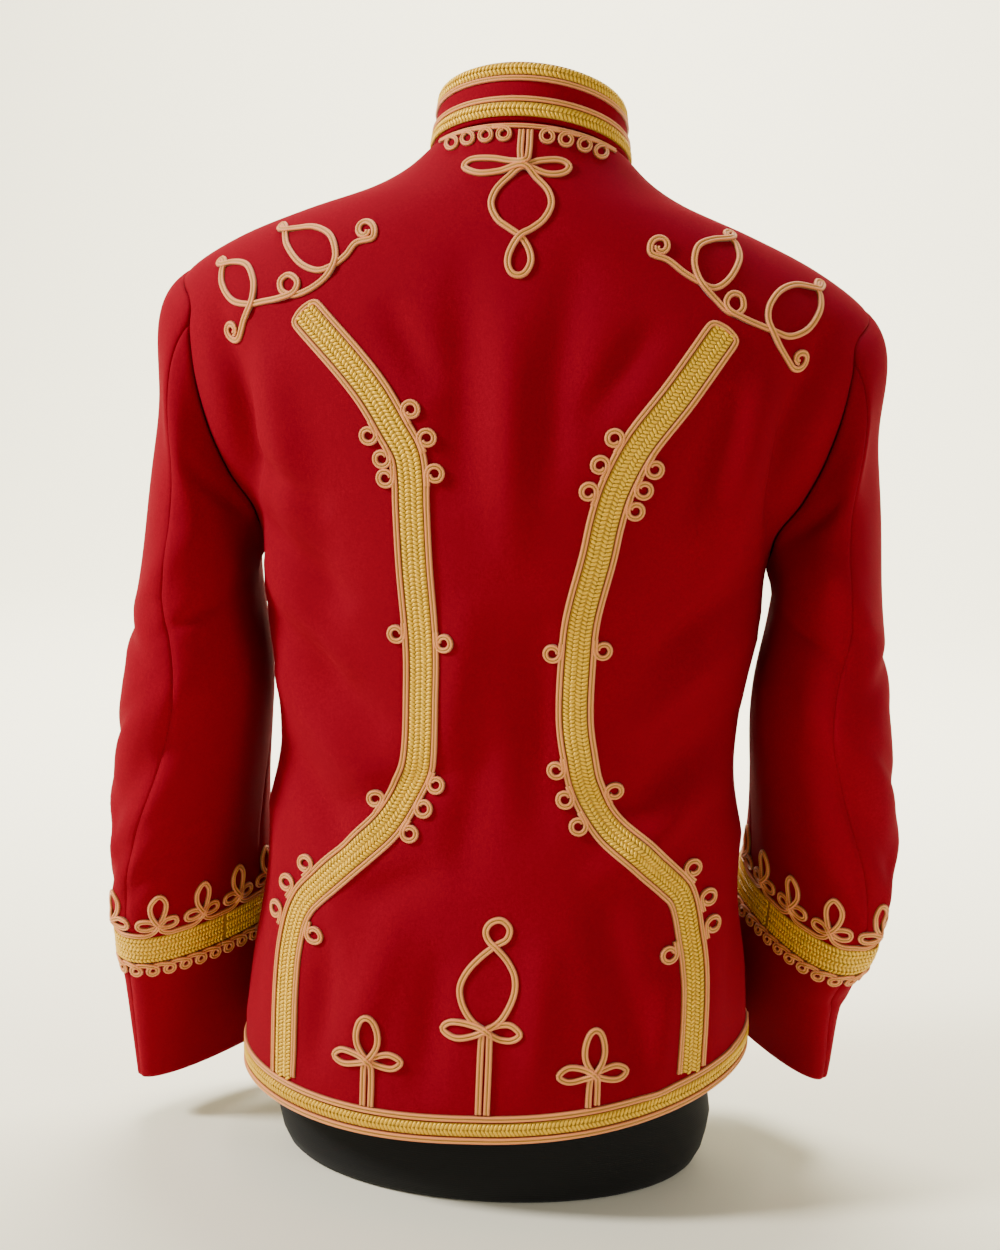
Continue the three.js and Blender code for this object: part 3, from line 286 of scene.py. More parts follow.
# ------------------------------------------------------------------ back and fronts
# The body's three panels of red melton, a felted wool cloth 2.2 mm thick that is pressed over the
# form. They are sewn at the sides and shoulders, and the left front laps over the right one.

WALL = 2.2
SEAM_GAP = 0.3
SEAM_DIP = 0.9        # how deep a pressed seam sinks
SEAM_SOFT = 2.6       # and how far from it the cloth starts to turn in
EDGE_ROUND = 0.6      # a cut edge of felted cloth is slightly round
LAP_HALF, LAP_STEP, LAP_DROP = 9, 17, 2.7

# long folds: centre across, half width, lowest and highest point, depth
torso_folds = table(
    ["x", "spread", "low", "high", "depth"],
    [[177, 11, 380, 585, 9], [143, 16, 330, 520, -3], [118, 14, 300, 470, 2.5], [98, 18, 150, 290, -2]],
)
# finer creases, each a soft trough or ridge from one point to another: across, height, half width, depth
creases = table(
    ["x1", "z1", "x2", "z2", "spread", "depth", "side"],
    [
        [-196, 596, -170, 470, 8, 8, 1], [-158, 566, -128, 430, 13, -6.4, 1],
        [-176, 500, -112, 462, 9, 6.8, 1], [-172, 462, -96, 400, 9, 7.2, 1],
        [-164, 428, -92, 352, 10, -6, 1], [-166, 398, -70, 318, 11, 7.2, 1],
        [-158, 352, -66, 268, 12, -6.8, 1], [-150, 306, -92, 232, 11, 6.8, 1],
        [-118, 262, -24, 300, 12, 6, 1], [198, 596, 168, 462, 8, 8.4, 1],
        [160, 566, 134, 420, 13, -6.8, 1], [136, 556, 112, 456, 9, 6.4, 1],
        [168, 440, 92, 372, 10, 6.8, 1], [162, 396, 78, 322, 12, -6, 1], [160, 340, 84, 276, 11, 6.4, 1],
        [152, 300, 60, 226, 12, -5.6, 1], [110, 262, 36, 300, 12, 5.2, 1],
        [-34, 640, -24, 470, 15, 5.6, 1], [-4, 600, 6, 430, 13, -4.8, 1], [38, 640, 22, 480, 14, 4.8, 1],
        [-84, 600, -46, 540, 10, 4.4, 1], [92, 596, 44, 520, 11, 4.4, 1],
        [-20, 420, -34, 300, 14, -4.8, 1], [22, 410, 30, 250, 15, 5.6, 1], [-8, 330, -22, 220, 13, 4.4, 1],
        [-104, 200, -30, 236, 11, 5.2, 1], [-58, 210, -92, 96, 13, -5.6, 1],
        [-106, 190, -116, 84, 10, 6, 1], [-30, 190, -40, 80, 12, 4.8, 1], [36, 200, 34, 84, 13, -4.8, 1],
        [70, 230, 104, 92, 13, 6, 1], [118, 170, 112, 84, 9, -4.8, 1], [-165, 250, -168, 100, 11, 6.4, 0],
        [166, 240, 168, 104, 11, 6.4, 0], [-172, 400, -158, 250, 9, 5.2, 0],
        [174, 396, 160, 246, 9, 5.2, 0], [-160, 566, -112, 420, 13, 6.4, -1],
        [158, 560, 110, 430, 13, 6, -1], [-150, 400, -60, 330, 12, 5.6, -1],
        [152, 396, 56, 322, 12, 5.6, -1], [-126, 322, -50, 268, 12, -5.2, -1],
        [128, 314, 46, 262, 12, 5.2, -1], [-70, 240, -84, 92, 14, -5.2, -1],
        [80, 240, 90, 90, 14, 5.6, -1], [-120, 210, -126, 90, 11, 5.2, -1],
        [122, 200, 128, 92, 11, -4.8, -1],
    ],
)


def crease_depth(p):
    """How far the creases push a point in; side is 1 for the back, -1 for the front, 0 for both."""
    total = np.zeros(p.shape[:-1])
    facing = np.clip(-p[..., 1] / 30, -1, 1)
    for x1, z1, x2, z2, spread, depth, side in zip(*creases.values()):
        run = np.hypot(x2 - x1, z2 - z1)
        dx, dz = (x2 - x1) / run, (z2 - z1) / run
        t = ((p[..., 0] - x1) * dx + (p[..., 2] - z1) * dz) / run
        off = (p[..., 2] - z1) * dx - (p[..., 0] - x1) * dz
        body = np.exp(-((off / spread) ** 2)) * np.sin(np.pi * np.clip(t, 0, 1)) ** 0.8
        total += depth * body * (1 if side == 0 else np.clip(side * facing, 0, 1))
    return total


def torso_point(angle, place):
    p = ring_point(angle, place, along(rings["half"], place))
    depth = crease_depth(p)
    for x, spread, low, high, amount in zip(*torso_folds.values()):
        across = np.exp(-(((np.abs(p[..., 0]) - x) / spread) ** 2))
        t = np.clip((p[..., 2] - low) / (high - low), 0, 1)
        depth = depth + amount * across * np.sin(np.pi * t) ** 0.7
    way = np.stack([-np.sin(angle), np.cos(angle), np.zeros_like(depth)], -1)
    return p + way * depth[..., None]


def torso_normal(angle, place):
    return normal_of(torso_point, angle, np.clip(place, 0.06, NECK - 0.06), 0.02, 0.05)


def angle_at(x, place):
    ratio = np.minimum(np.abs(x) / along(rings["half"], place), 1)
    return np.sign(x) * np.arcsin(ratio ** (along(rings["square"], place) / 2))


def cloth_shell(name, outer, normal, material, seams):
    """A cloth wall from a net of points. seams says which of its edges (low, high, first, last) are sewn."""
    rows, wide = outer.shape[:2]
    outer = outer.copy()
    for (axis, at), sewn in zip(((0, 0), (0, rows - 1), (1, 0), (1, wide - 1)), seams):
        line = np.take(outer, at, axis)[:, None] if axis == 1 else np.take(outer, at, axis)[None]
        away = np.linalg.norm(outer - line, axis=-1)
        if sewn:
            outer -= normal * (SEAM_DIP * np.exp(-((away / SEAM_SOFT) ** 2)))[..., None]
    inner = outer - normal * WALL
    for net in (outer, inner):
        still = net.copy()
        net[0] += unit(still[1] - still[0]) * SEAM_GAP / 2
        net[-1] += unit(still[-2] - still[-1]) * SEAM_GAP / 2
        net[:, 0] += unit(still[:, 1] - still[:, 0]) * SEAM_GAP / 2
        net[:, -1] += unit(still[:, -2] - still[:, -1]) * SEAM_GAP / 2
    order = ([(0, j) for j in range(wide)] + [(i, wide - 1) for i in range(1, rows)]
             + [(rows - 1, j) for j in range(wide - 2, -1, -1)] + [(i, 0) for i in range(rows - 2, 0, -1)])
    rim = []
    for i, j in order:
        inside = outer[min(max(i, 1), rows - 2), min(max(j, 1), wide - 2)]
        rim.append((outer[i, j] + inner[i, j]) / 2 + unit(outer[i, j] - inside) * EDGE_ROUND)
    count = rows * wide
    points = np.concatenate([outer.reshape(-1, 3), inner.reshape(-1, 3), np.array(rim)])
    faces = []
    for i in range(rows - 1):
        for j in range(wide - 1):
            a = i * wide + j
            faces.append((a, a + 1, a + wide + 1, a + wide))
            faces.append((count + a + wide, count + a + wide + 1, count + a + 1, count + a))
    for k, (i, j) in enumerate(order):
        m = (k + 1) % len(order)
        a, b = i * wide + j, order[m][0] * wide + order[m][1]
        ra, rb = 2 * count + k, 2 * count + m
        faces.append((b, a, ra, rb))
        faces.append((rb, ra, count + a, count + b))
    faces, _ = outward(points, faces)
    return mesh_object(name, points, faces, material)


# melton: wool milled until it felts, then raised and cropped to a short nap. It takes light softly and
# has a faint red bloom at grazing angles; the nap's tufts are about 1.5 mm, and faint clouds are 40 mm
melton, tree = new_material("wool_melton_red")
tufts = noise(tree, 1.5, 4.0, Roughness=0.65)
clouds, fibres = noise(tree, 40, 3.0), noise(tree, 0.5, 2.0)
nap = node(tree, "ShaderNodeMath", {0: tufts, 1: fibres}, operation="ADD")
dyed = two_tone(tree, clouds, two_tone(tree, tufts, 0x5A0010, 0x9C0420), 0x7A0218)
dress(tree, {"Base Color": dyed}, nap.outputs[0], 0.3, 0.35, Roughness=0.9, Sheen_Weight=0.1,
      Sheen_Roughness=0.4, Sheen_Tint=linear(0xFF1838), Specular_IOR_Level=0.06)

# rows closer together where the body curves most; columns about 5 mm apart
row_places = np.concatenate([np.linspace(0, ARMPIT, 66, endpoint=False),
                             np.linspace(ARMPIT, SHOULDER, 46, endpoint=False),
                             np.linspace(SHOULDER, NECK, 34)])
reach = np.radians(np.minimum(along(rings["armhole"], row_places), 90))
BACK_COLUMNS, FRONT_COLUMNS = 108, 62


def torso_net(angle_rows):
    places = np.repeat(row_places[:, None], angle_rows.shape[1], 1)
    return torso_point(angle_rows, places), torso_normal(angle_rows, places)


share = np.linspace(1, -1, BACK_COLUMNS)[None, :]
net, normal = torso_net(reach[:, None] * share)
back = cloth_shell("back_panel", net, normal, melton, (False, True, True, True))

edge = np.pi - angle_at(np.full(len(row_places), -LAP_HALF), row_places)
share = np.linspace(0, 1, FRONT_COLUMNS)[None, :]
net, normal = torso_net(edge[:, None] * (1 - share) + (np.pi - reach)[:, None] * share)
under = np.clip((LAP_HALF + 1 + LAP_STEP - net[..., 0]) / LAP_STEP, 0, 1)
net -= normal * (LAP_DROP * under**2 * (3 - 2 * under))[..., None]
front_right = cloth_shell("front_panel_right", net, normal, melton, (False, True, False, True))

edge = -np.pi - angle_at(np.full(len(row_places), LAP_HALF), row_places)
net, normal = torso_net((reach - np.pi)[:, None] * (1 - share) + edge[:, None] * share)
front_left = cloth_shell("front_panel_left", net, normal, melton, (False, True, True, False))

for piece, panel_node, cut, area in ((back, "back", (0.52, 0.67), 0.3),
                                     (front_right, "front_right", (0.28, 0.63), 0.148),
                                     (front_left, "front_left", (0.28, 0.63), 0.15)):
    settle(piece, panel_node)


# ------------------------------------------------------------------ sleeves
# Two-piece sleeves of the same melton, cut for a bent arm. Each has a top and an under half, sewn
# along the back of the arm and inside the forearm, and is set into the armhole without gathers.

sleeve_rings = {
    1: table(["z", "x", "y", "long", "short", "turn"],
             [[395, 213.5, 0, 74, 37.5, 88], [324, 214.5, -3, 70, 43.5, 78], [215, 221, 13, 72, 37, 60],
              [148, 202, 40, 68, 27, 57], [80, 190, 64, 70, 20, 47]]),
    -1: table(["z", "x", "y", "long", "short", "turn"],
              [[395, 216.5, 0, 74, 39.5, 88], [324, 217, -3, 70, 46, 78], [215, 223.5, 8, 72, 37.5, 60],
               [135, 217, 29, 71, 29, 52], [47, 209, 46, 70, 20, 46]]),
}
SLEEVE_SQUARE = 2.2
HEAD_START, HEAD_TOP, HEAD_END = 0.25, 0.18, 0.48
head_top = {1: (0.84, 0, -0.54), -1: (0.93, 0, -0.36)}
head_ways = {"back": (0.5, -0.2, -0.84), "under": (0.6, 0, -0.8),
             "front": (0.5, 0.2, -0.84)}
seam_hind = np.array([130, 101, 77, 82, 88, 90], float)
seam_fore = np.array([306, 318, 328, 332, 332, 332], float)
sleeve_folds = table(
    ["down", "round", "spread_down", "spread_round", "slant", "depth"],
    [
        [0.62, 120, 0.16, 38, 0.0, 4], [1.95, 84, 0.3, 42, 0.004, -5], [2.5, 96, 0.26, 55, 0.011, 6],
        [2.35, 250, 0.3, 50, -0.006, 4], [0.5, 180, 0.2, 45, 0.0, 7], [1.9, 0, 0.8, 30, 0.0, -3],
        [1.9, 360, 0.8, 30, 0.0, -3], [0.3, 70, 0.09, 26, 0.004, 3.2], [0.85, 100, 0.11, 34, 0.006, -3.0],
        [1.4, 150, 0.13, 40, -0.006, 3.4], [1.15, 60, 0.1, 30, 0.007, 3.2],
        [3.1, 110, 0.12, 44, 0.009, 3.2], [3.6, 140, 0.14, 44, -0.008, -2.6],
        [2.95, 55, 0.11, 32, 0.008, 3.6], [2.2, 130, 0.1, 30, 0.009, 3.0],
        [2.75, 130, 0.1, 30, -0.007, -3.0], [1.1, 250, 0.12, 38, 0.005, 3.2],
        [3.2, 230, 0.14, 44, -0.007, 3.2], [0.55, 250, 0.09, 32, 0.0, 3.2],
        [2.15, 190, 0.12, 32, 0.008, 3.2], [2.75, 190, 0.11, 34, -0.008, 3.0],
        [1.6, 230, 0.12, 32, 0.008, -2.6],
    ],
)
HIND, FORE = 130.0, 306.0
ARM_ROWS, ARM_COLUMNS, HEAD_ROWS, HOLE_ROWS = 150, 180, 44, 160


def along_straight(values, place):
    ends = np.concatenate([[2 * values[0] - values[1]], values, [2 * values[-1] - values[-2]]])
    return along(ends, place + 1)


def sleeve_net(side):
    """Points and normals of a sleeve's outside over degrees round the armhole and places down it."""
    shape = sleeve_rings[side]
    place_up = np.linspace(ARMPIT, SHOULDER, HOLE_ROWS)
    limit = np.radians(np.minimum(along(rings["armhole"], place_up), 90))
    hind_edge = torso_point(side * limit, place_up)
    fore_edge = torso_point(side * (np.pi - limit), place_up)[::-1]
    hole = np.concatenate([hind_edge, fore_edge[1:]])
    first, second = travel(hole[:HOLE_ROWS]), travel(hole[HOLE_ROWS - 1:])
    degrees = np.concatenate([180 * first / first[-1], 180 + 180 * second[1:] / second[-1]])

    def centre(place):
        return np.stack([side * along_straight(shape["x"], place), along_straight(shape["y"], place),
                         along_straight(shape["z"], place)], -1)

    def ring(angle, place):
        way = unit(centre(place + 0.02) - centre(place - 0.02))
        twist = np.radians(along_straight(shape["turn"], place))
        long_way = np.stack([-side * np.cos(twist), np.sin(twist), np.zeros_like(twist)], -1)
        long_way = unit(long_way - way * np.sum(long_way * way, -1, keepdims=True))
        short_way = np.cross(long_way, way)
        short_way = np.where(short_way[..., :1] * side < 0, -short_way, short_way)
        power = 2 / SLEEVE_SQUARE
        short = along_straight(shape["short"], place) * signed_power(np.cos(angle), power)
        long = along_straight(shape["long"], place) * signed_power(np.sin(angle), power)
        return centre(place) - short_way * short[..., None] - long_way * long[..., None]

    start_d = np.linspace(0, 360, ARM_COLUMNS, endpoint=False)
    marks = np.array([0, HIND, FORE, 360.0])
    start_d = np.sort(np.concatenate([start_d[np.min(np.abs(start_d[:, None] - marks[None]), 1) > 0.8],
                                      [0, HIND, FORE]]))
    downs = np.concatenate([np.linspace(0, 1, HEAD_ROWS, endpoint=False),
                            np.linspace(1, 5, ARM_ROWS - HEAD_ROWS)])
    d0, down = np.meshgrid(start_d, downs)
    hind, fore = along(seam_hind, down), along(seam_fore, down)
    top_share = (d0 - HIND) / (FORE - HIND)
    wide0 = 360 + HIND - FORE
    under_share = np.where(d0 > FORE, d0 - FORE, d0 + 360 - FORE) / wide0
    d = np.where((d0 >= HIND) & (d0 <= FORE), hind + (fore - hind) * top_share,
                 fore + (360 + hind - fore) * under_share)
    angle = np.radians(d)
    s, c = np.sin(angle), np.cos(angle)
    ring0 = np.zeros_like(angle)
    begin, end = resample(hole, degrees, d % 360), ring(angle, ring0)
    end_way = unit(ring(angle, ring0 + 0.05) - end)
    ways = {"top": head_top[side], **head_ways}
    start_way = sum(np.maximum(0, weight)[..., None] ** 2 * (np.array(ways[name]) * [side, 1, 1])
                    for name, weight in (("top", -c), ("under", c), ("back", s), ("front", -s)))
    length = np.linalg.norm(end - begin, axis=-1, keepdims=True)
    keep = HEAD_START + (HEAD_TOP - HEAD_START) * np.maximum(0, -c)[..., None] ** 2
    b1 = begin + unit(start_way) * keep * length
    b2 = end - end_way * HEAD_END * length
    t = np.clip(down, 0, 1)[..., None]
    head = (1 - t) ** 3 * begin + 3 * (1 - t) ** 2 * t * b1 + 3 * (1 - t) * t * t * b2 + t**3 * end
    plain = np.where(down[..., None] < 1, head, ring(angle, np.maximum(down - 1, 0)))

    def normals(p):
        wrap = np.concatenate([p[:, -1:], p, p[:, :1]], 1)
        across = wrap[:, 2:] - wrap[:, :-2]
        downward = np.gradient(p, axis=0)
        n = unit(np.cross(across, downward))
        middle = p.mean(1, keepdims=True)
        flip = np.sign(np.sum(n * (p - middle), -1).mean(1, keepdims=True))[..., None]
        return n * np.median(flip)

    depth = np.zeros_like(d)
    dd = d % 360
    for place, turn_round, spread_down, spread_round, slant, amount in zip(*sleeve_folds.values()):
        turned = dd - turn_round
        off = (down - place - slant * turned) / spread_down
        depth += amount * np.exp(-off * off) * np.exp(-((turned / spread_round) ** 2))
    fade = np.clip(down / 0.12, 0, 1)
    folded = plain - normals(plain) * (depth * fade)[..., None]
    return {"start": start_d, "down": downs, "p": folded, "n": normals(folded)}


sleeves = {side: sleeve_net(side) for side in (1, -1)}
side_name = {1: "right", -1: "left"}
for side, net in sleeves.items():
    hind_i = int(np.argmin(np.abs(net["start"] - HIND)))
    fore_i = int(np.argmin(np.abs(net["start"] - FORE)))
    count = len(net["start"])
    for half, columns in (("top", np.arange(hind_i, fore_i + 1)),
                          ("under", np.arange(fore_i, hind_i + count + 1) % count)):
        name = f"sleeve_{half}_{side_name[side]}"
        piece = cloth_shell(f"{name}_cloth", net["p"][:, columns], net["n"][:, columns], melton,
                            (True, False, True, True))
        settle(piece, name)
        cut, area = ((0.25, 0.6), 0.11) if half == "top" else ((0.16, 0.54), 0.055)


# ------------------------------------------------------------------ collar
# A stand collar: one band of the melton on a stiff interlining, sewn into the neck seam and hooked
# edge to edge at the throat. It leans slightly inwards as it rises.

COLLAR_RISE, COLLAR_LIFT = 36, 0.7
COLLAR_TAPER = (0.92, 0.91)
CENTRE_HALF_GAP = 0.5
collar_throat = float(angle_at(np.array([CENTRE_HALF_GAP]), np.array([float(NECK)]))[0])


def on_collar(places):
    """Point on the collar: angle round the neck and height above its seam."""
    angle, height = places[..., 0], places[..., 1]
    base = torso_point(angle, np.full(angle.shape, float(NECK)))
    share = height / COLLAR_RISE
    size = np.stack([1 - (1 - COLLAR_TAPER[0]) * share, 1 - (1 - COLLAR_TAPER[1]) * share,
                     np.ones_like(share)], -1)
    return base * size + np.stack([0 * height, 0 * height, COLLAR_LIFT + height], -1)


def with_normals(surface, across=0.02, up=0.5):
    """A map that also gives the surface's normal, from small steps across and up."""
    def mapped(places):
        du = surface(places + [across, 0]) - surface(places - [across, 0])
        dv = surface(places + [0, up]) - surface(places - [0, up])
        return surface(places), unit(np.cross(du, dv))

    return mapped


collar_map = with_normals(on_collar)
angles = np.linspace(np.pi - collar_throat, -np.pi + collar_throat, 200)
heights = np.linspace(0, COLLAR_RISE, 15)
grid = np.stack(np.meshgrid(angles, heights), -1)
net, normal = collar_map(grid)
collar = cloth_shell("collar_band", net, normal, melton, (True, False, False, False))
settle(collar, "collar")


# ------------------------------------------------------------------ gold lace
# Flat lace woven of gilt wire: a firm ribbon with two, four or six columns of slanted, overlapping
# plaits and a narrow woven edge. It is sewn on flat down the back, round the hem, the collar and each cuff.

LACE_THICK, LACE_SINK, LACE_STEP = 0.7, 0.3, 3.0
lace_across = [-1, -0.5, 0, 0.5, 1]
lace_rise = [0.75, 1.0, 1.0, 1.0, 0.75]
HEM_CORD_LOW, HEM_LACE_MIDDLE, HEM_CORD_HIGH, HEM_TRIM_TOP = 2.6, 10.15, 17.7, 20.75
band_points = {
    -1: [(130, 585), (103, 559), (86, 540), (72, 519), (63, 504), (60, 488), (59, 471), (56, 432),
         (51, 384), (50, 349), (51, 307), (59, 284), (70, 262), (90, 240), (112, 217), (127, 199),
         (134, 177), (137, 142), (137, 60)],
    1: [(128, 583), (105, 548), (82, 516), (69, 489), (63, 467), (59, 444), (51, 407), (49, 380), (49, 340),
        (53, 313), (59, 292), (73, 268), (94, 248), (115, 229), (124, 218), (130, 196), (136, 155),
        (136, 60)],
}
BAND_LACE, HEM_LACE, CUFF_LACE = 15.4, 9, 22
BAND_LACE_END = 4.8                 # the lace runs this far past the band's first point
cuff_middle = {1: 115, -1: 108}     # up from the cuff's edge
cuff_lean = {1: 8, -1: 4}           # and how much higher at the back of the arm


HALVINGS = 34                       # steps of the search for a height on the body


def on_back(places):
    """Point on the back at a distance across and a height."""
    x, z = places[..., 0], places[..., 1]
    ridge = np.interp(-np.abs(x), -rings["half"][SHOULDER:], np.arange(SHOULDER, NECK + 1))
    low, high = np.zeros_like(x), ridge
    for _ in range(HALVINGS):
        middle = (low + high) / 2
        level = ring_point(angle_at(x, middle), middle, along(rings["half"], middle))[..., 2]
        low, high = np.where(level < z, middle, low), np.where(level < z, high, middle)
    return torso_point(angle_at(x, low), low)


back_map = with_normals(on_back, 1.5, 1.5)

HEM_REACH, HEM_STEPS = 1.2, 40      # how far up the body, in places, and in how many steps


def on_hem(places):
    """Point at an angle round the body and a height above the hem's edge."""
    angle, height = places[..., 0], places[..., 1]
    steps = np.linspace(0, HEM_REACH, HEM_STEPS)
    column = torso_point(angle[..., None] + 0 * steps, steps + 0 * angle[..., None])
    run = np.concatenate([np.zeros(angle.shape + (1,)),
                          np.cumsum(np.linalg.norm(np.diff(column, axis=-2), axis=-1), -1)], -1)
    flat_run, flat_height = run.reshape(-1, HEM_STEPS), np.maximum(height, 0).reshape(-1)
    place = np.array([np.interp(h, r, steps) for h, r in zip(flat_height, flat_run)]).reshape(angle.shape)
    return torso_point(angle, place)


hem_map = with_normals(on_hem)


CUFF_FROM, CUFF_TO, CUFF_STEP = 60, 190, 2.0    # the stretch of sleeve that carries the trims


def cuff_surface(side):
    """Map of a cuff by distance round it and height above its edge, and its girth."""
    net = sleeves[side]
    p = np.concatenate([net["p"], net["p"][:, :1]], 1)[::-1]
    n = np.concatenate([net["n"], net["n"][:, :1]], 1)[::-1]
    run = np.concatenate([np.zeros((1, p.shape[1])),
                          np.cumsum(np.linalg.norm(np.diff(p, axis=0), axis=-1), 0)])
    heights = np.arange(CUFF_FROM, CUFF_TO, CUFF_STEP)
    level, level_n = (np.stack([np.stack([np.interp(heights, run[:, j], g[:, j, k]) for k in range(3)], -1)
                                for j in range(p.shape[1])], 1) for g in (p, n))
    middle = level[int((cuff_middle[side] - CUFF_FROM) / CUFF_STEP)]
    arc = travel(middle)

    def mapped(places):
        turned = places[..., 0] % arc[-1]
        column = np.interp(turned, arc, np.arange(len(arc)))
        rise = cuff_lean[side] * np.sin(2 * np.pi * turned / arc[-1])
        row = np.clip((places[..., 1] + rise - CUFF_FROM) / CUFF_STEP, 0, len(heights) - 1.001)
        i, j = row.astype(int), np.minimum(column.astype(int), len(arc) - 2)
        u, v = (row - i)[..., None], (column - j)[..., None]
        found = [(1 - u) * (1 - v) * g[i, j] + u * (1 - v) * g[i + 1, j] + (1 - u) * v * g[i, j + 1]
                 + u * v * g[i + 1, j + 1] for g in (level, unit(level_n))]
        return found[0], unit(found[1])
    return mapped, arc[-1]


cuff_maps = {side: cuff_surface(side) for side in (1, -1)}


def spline(points, step, closed=False):
    """Evenly spaced points of a smooth curve through a few of them, in any number of columns."""
    p = np.asarray(points, float)
    p = np.concatenate([p[-1:], p, p[:2]]) if closed else np.concatenate([2 * p[:1] - p[1:2], p,
                                                                          2 * p[-1:] - p[-2:-1]])
    fine = []
    for i in range(1, len(p) - 2):
        t = np.linspace(0, 1, 24, endpoint=False)[:, None]
        a, b = (p[i + 1] - p[i - 1]) / 2, (p[i + 2] - p[i]) / 2
        fine.append((2 * t**3 - 3 * t**2 + 1) * p[i] + (t**3 - 2 * t**2 + t) * a
                    + (3 * t**2 - 2 * t**3) * p[i + 1] + (t**3 - t**2) * b)
    fine = np.concatenate(fine + [p[-2:-1]])
    run = travel(fine[:, :2])
    count = max(3, int(round(run[-1] / step)))
    at = np.linspace(0, run[-1], count + 1)
    return resample(fine, run, at[:-1] if closed else at)


def even_on(surface, path, step, closed=False):
    """The same path on a surface, with points a real distance apart."""
    whole = np.concatenate([path, path[:1]]) if closed else path
    run = travel(surface(whole[:, :2])[0])
    count = max(3, int(round(run[-1] / step)))
    at = np.linspace(0, run[-1], count + 1)
    return resample(whole, run, at[:-1] if closed else at)


def frames_on(surface, path, closed=False):
    """Point, normal, way along and way across at each point of a path on a surface."""
    p, n = surface(path[:, :2])
    tangent = unit(np.roll(p, -1, 0) - np.roll(p, 1, 0) if closed else np.gradient(p, axis=0))
    return p, n, tangent, unit(np.cross(tangent, n))


def beside(surface, path, distance, closed=False):
    """The path moved sideways on its surface by a real distance."""
    p, n, tangent, across = frames_on(surface, path, closed)
    step = np.array([0.004, 0]) if abs(path[:, 0]).max() < 7 else np.array([0.5, 0])
    du = (surface(path[:, :2] + step)[0] - surface(path[:, :2] - step)[0]) / (2 * step[0])
    dv = (surface(path[:, :2] + [0, 0.5])[0] - surface(path[:, :2] - [0, 0.5])[0])
    offset = across * distance
    uu, uv, vv = (np.sum(a * b, -1) for a, b in ((du, du), (du, dv), (dv, dv)))
    ou, ov = np.sum(offset * du, -1), np.sum(offset * dv, -1)
    det = np.maximum(uu * vv - uv * uv, 1e-9)
    moved = path.copy()
    moved[:, 0] += (ou * vv - ov * uv) / det
    moved[:, 1] += (ov * uu - ou * uv) / det
    return moved


def tube(loops, girth, run, closed):
    """A row of joined loops: points, faces and UVs, from the places across and along, in mm."""
    rows, size = loops.shape[:2]
    faces, uvs = [], []
    for i in range(rows if closed else rows - 1):
        here, there = i * size, (i + 1) % rows * size
        for j in range(size):
            k = (j + 1) % size
            faces.append((here + j, here + k, there + k, there + j))
            uvs.append(((girth[j], run[i]), (girth[j + 1], run[i]), (girth[j + 1], run[i + 1]),
                        (girth[j], run[i + 1])))
    if not closed:
        faces += [tuple(range(size))[::-1], tuple(range((rows - 1) * size, rows * size))]
        uvs += [((0, 0),) * size] * 2
    flat = loops.reshape(-1, 3)
    faces, turned = outward(flat - flat.mean(0), faces)
    return flat, faces, [u[::-1] for u in uvs] if turned else uvs


def swept(p, n, across, section, closed, lift=0.0, width=1.0):
    """A section swept along a path."""
    lift = np.broadcast_to(lift, len(p))
    loops = (p[:, None] + across[:, None] * (section[None, :, :1] * width)
             + n[:, None] * (section[None, :, 1:] + lift[:, None, None]))
    run = travel(np.concatenate([p, p[:1]]))
    return tube(loops, np.append(section[:, 0], section[0, 0]), run, closed)


def trim_object(name, parts, material, sharp=None):
    points, faces, uvs, base = [], [], [], 0
    for flat, part_faces, part_uvs in parts:
        points.append(flat)
        faces += [tuple(v + base for v in f) for f in part_faces]
        uvs += [pair for face in part_uvs for pair in face]
        base += len(flat)
    return mesh_object(name, np.concatenate(points), faces, material, np.array(uvs) * MM, sharp)


# gilt wire lace: metal thread wound on silk, a warm yellow gold with slightly browner patches; the
# thread is 0.4 mm, drawn at 0.7 mm so that it shows
gilt_lace, tree = new_material("gilt_wire_lace")
threads, patches = noise(tree, 0.7, 2.0), noise(tree, 14, 2.0)
wire = two_tone(tree, patches, two_tone(tree, threads, 0xBC8A10, 0xFFD836), 0xE8B41C)
dress(tree, {"Base Color": wire}, threads, 0.5, 0.25, Metallic=0.35, Roughness=0.45)

# the ribbon under the plaits is the same wire, in shade between them
lace_ground, tree = new_material("gilt_wire_ground")
wefts = waves(tree, node(tree, "ShaderNodeUVMap", uv_map="UVMap").outputs["UV"], "Y", 0.9)
dress(tree, {"Base Color": two_tone(tree, wefts, 0x8A6818, 0xC8A030)}, wefts, 0.4, 0.2,
      Metallic=0.4, Roughness=0.55)

# the plaits: one grain of wound thread set on every mark, turned by the mark's own rotation
plaits = bpy.data.node_groups.new("plaited_grains", "GeometryNodeTree")
for socket, kind in (("Geometry", "Geometry"), ("Grain Length", "Float"), ("Grain Width", "Float"),
                     ("Grain Height", "Float"), ("Uneven", "Float"), ("Thread", "Material")):
    plaits.interface.new_socket(socket, in_out="INPUT", socket_type=f"NodeSocket{kind}")
plaits.interface.new_socket("Geometry", in_out="OUTPUT", socket_type="NodeSocketGeometry")
given = node(plaits, "NodeGroupInput")
bead = node(plaits, "GeometryNodeMeshUVSphere", Radius=0.5 * MM, Segments=6, Rings=5)
size = node(plaits, "ShaderNodeCombineXYZ", {axis: given.outputs[f"Grain {name}"] for axis, name in
                                             (("X", "Height"), ("Y", "Width"), ("Z", "Length"))})
grain = node(plaits, "GeometryNodeTransform", {"Geometry": bead.outputs[0], "Scale": size.outputs[0]},
             Rotation=(0, math.pi / 2, 0))
turn = node(plaits, "GeometryNodeInputNamedAttribute", data_type="QUATERNION", Name="turn")
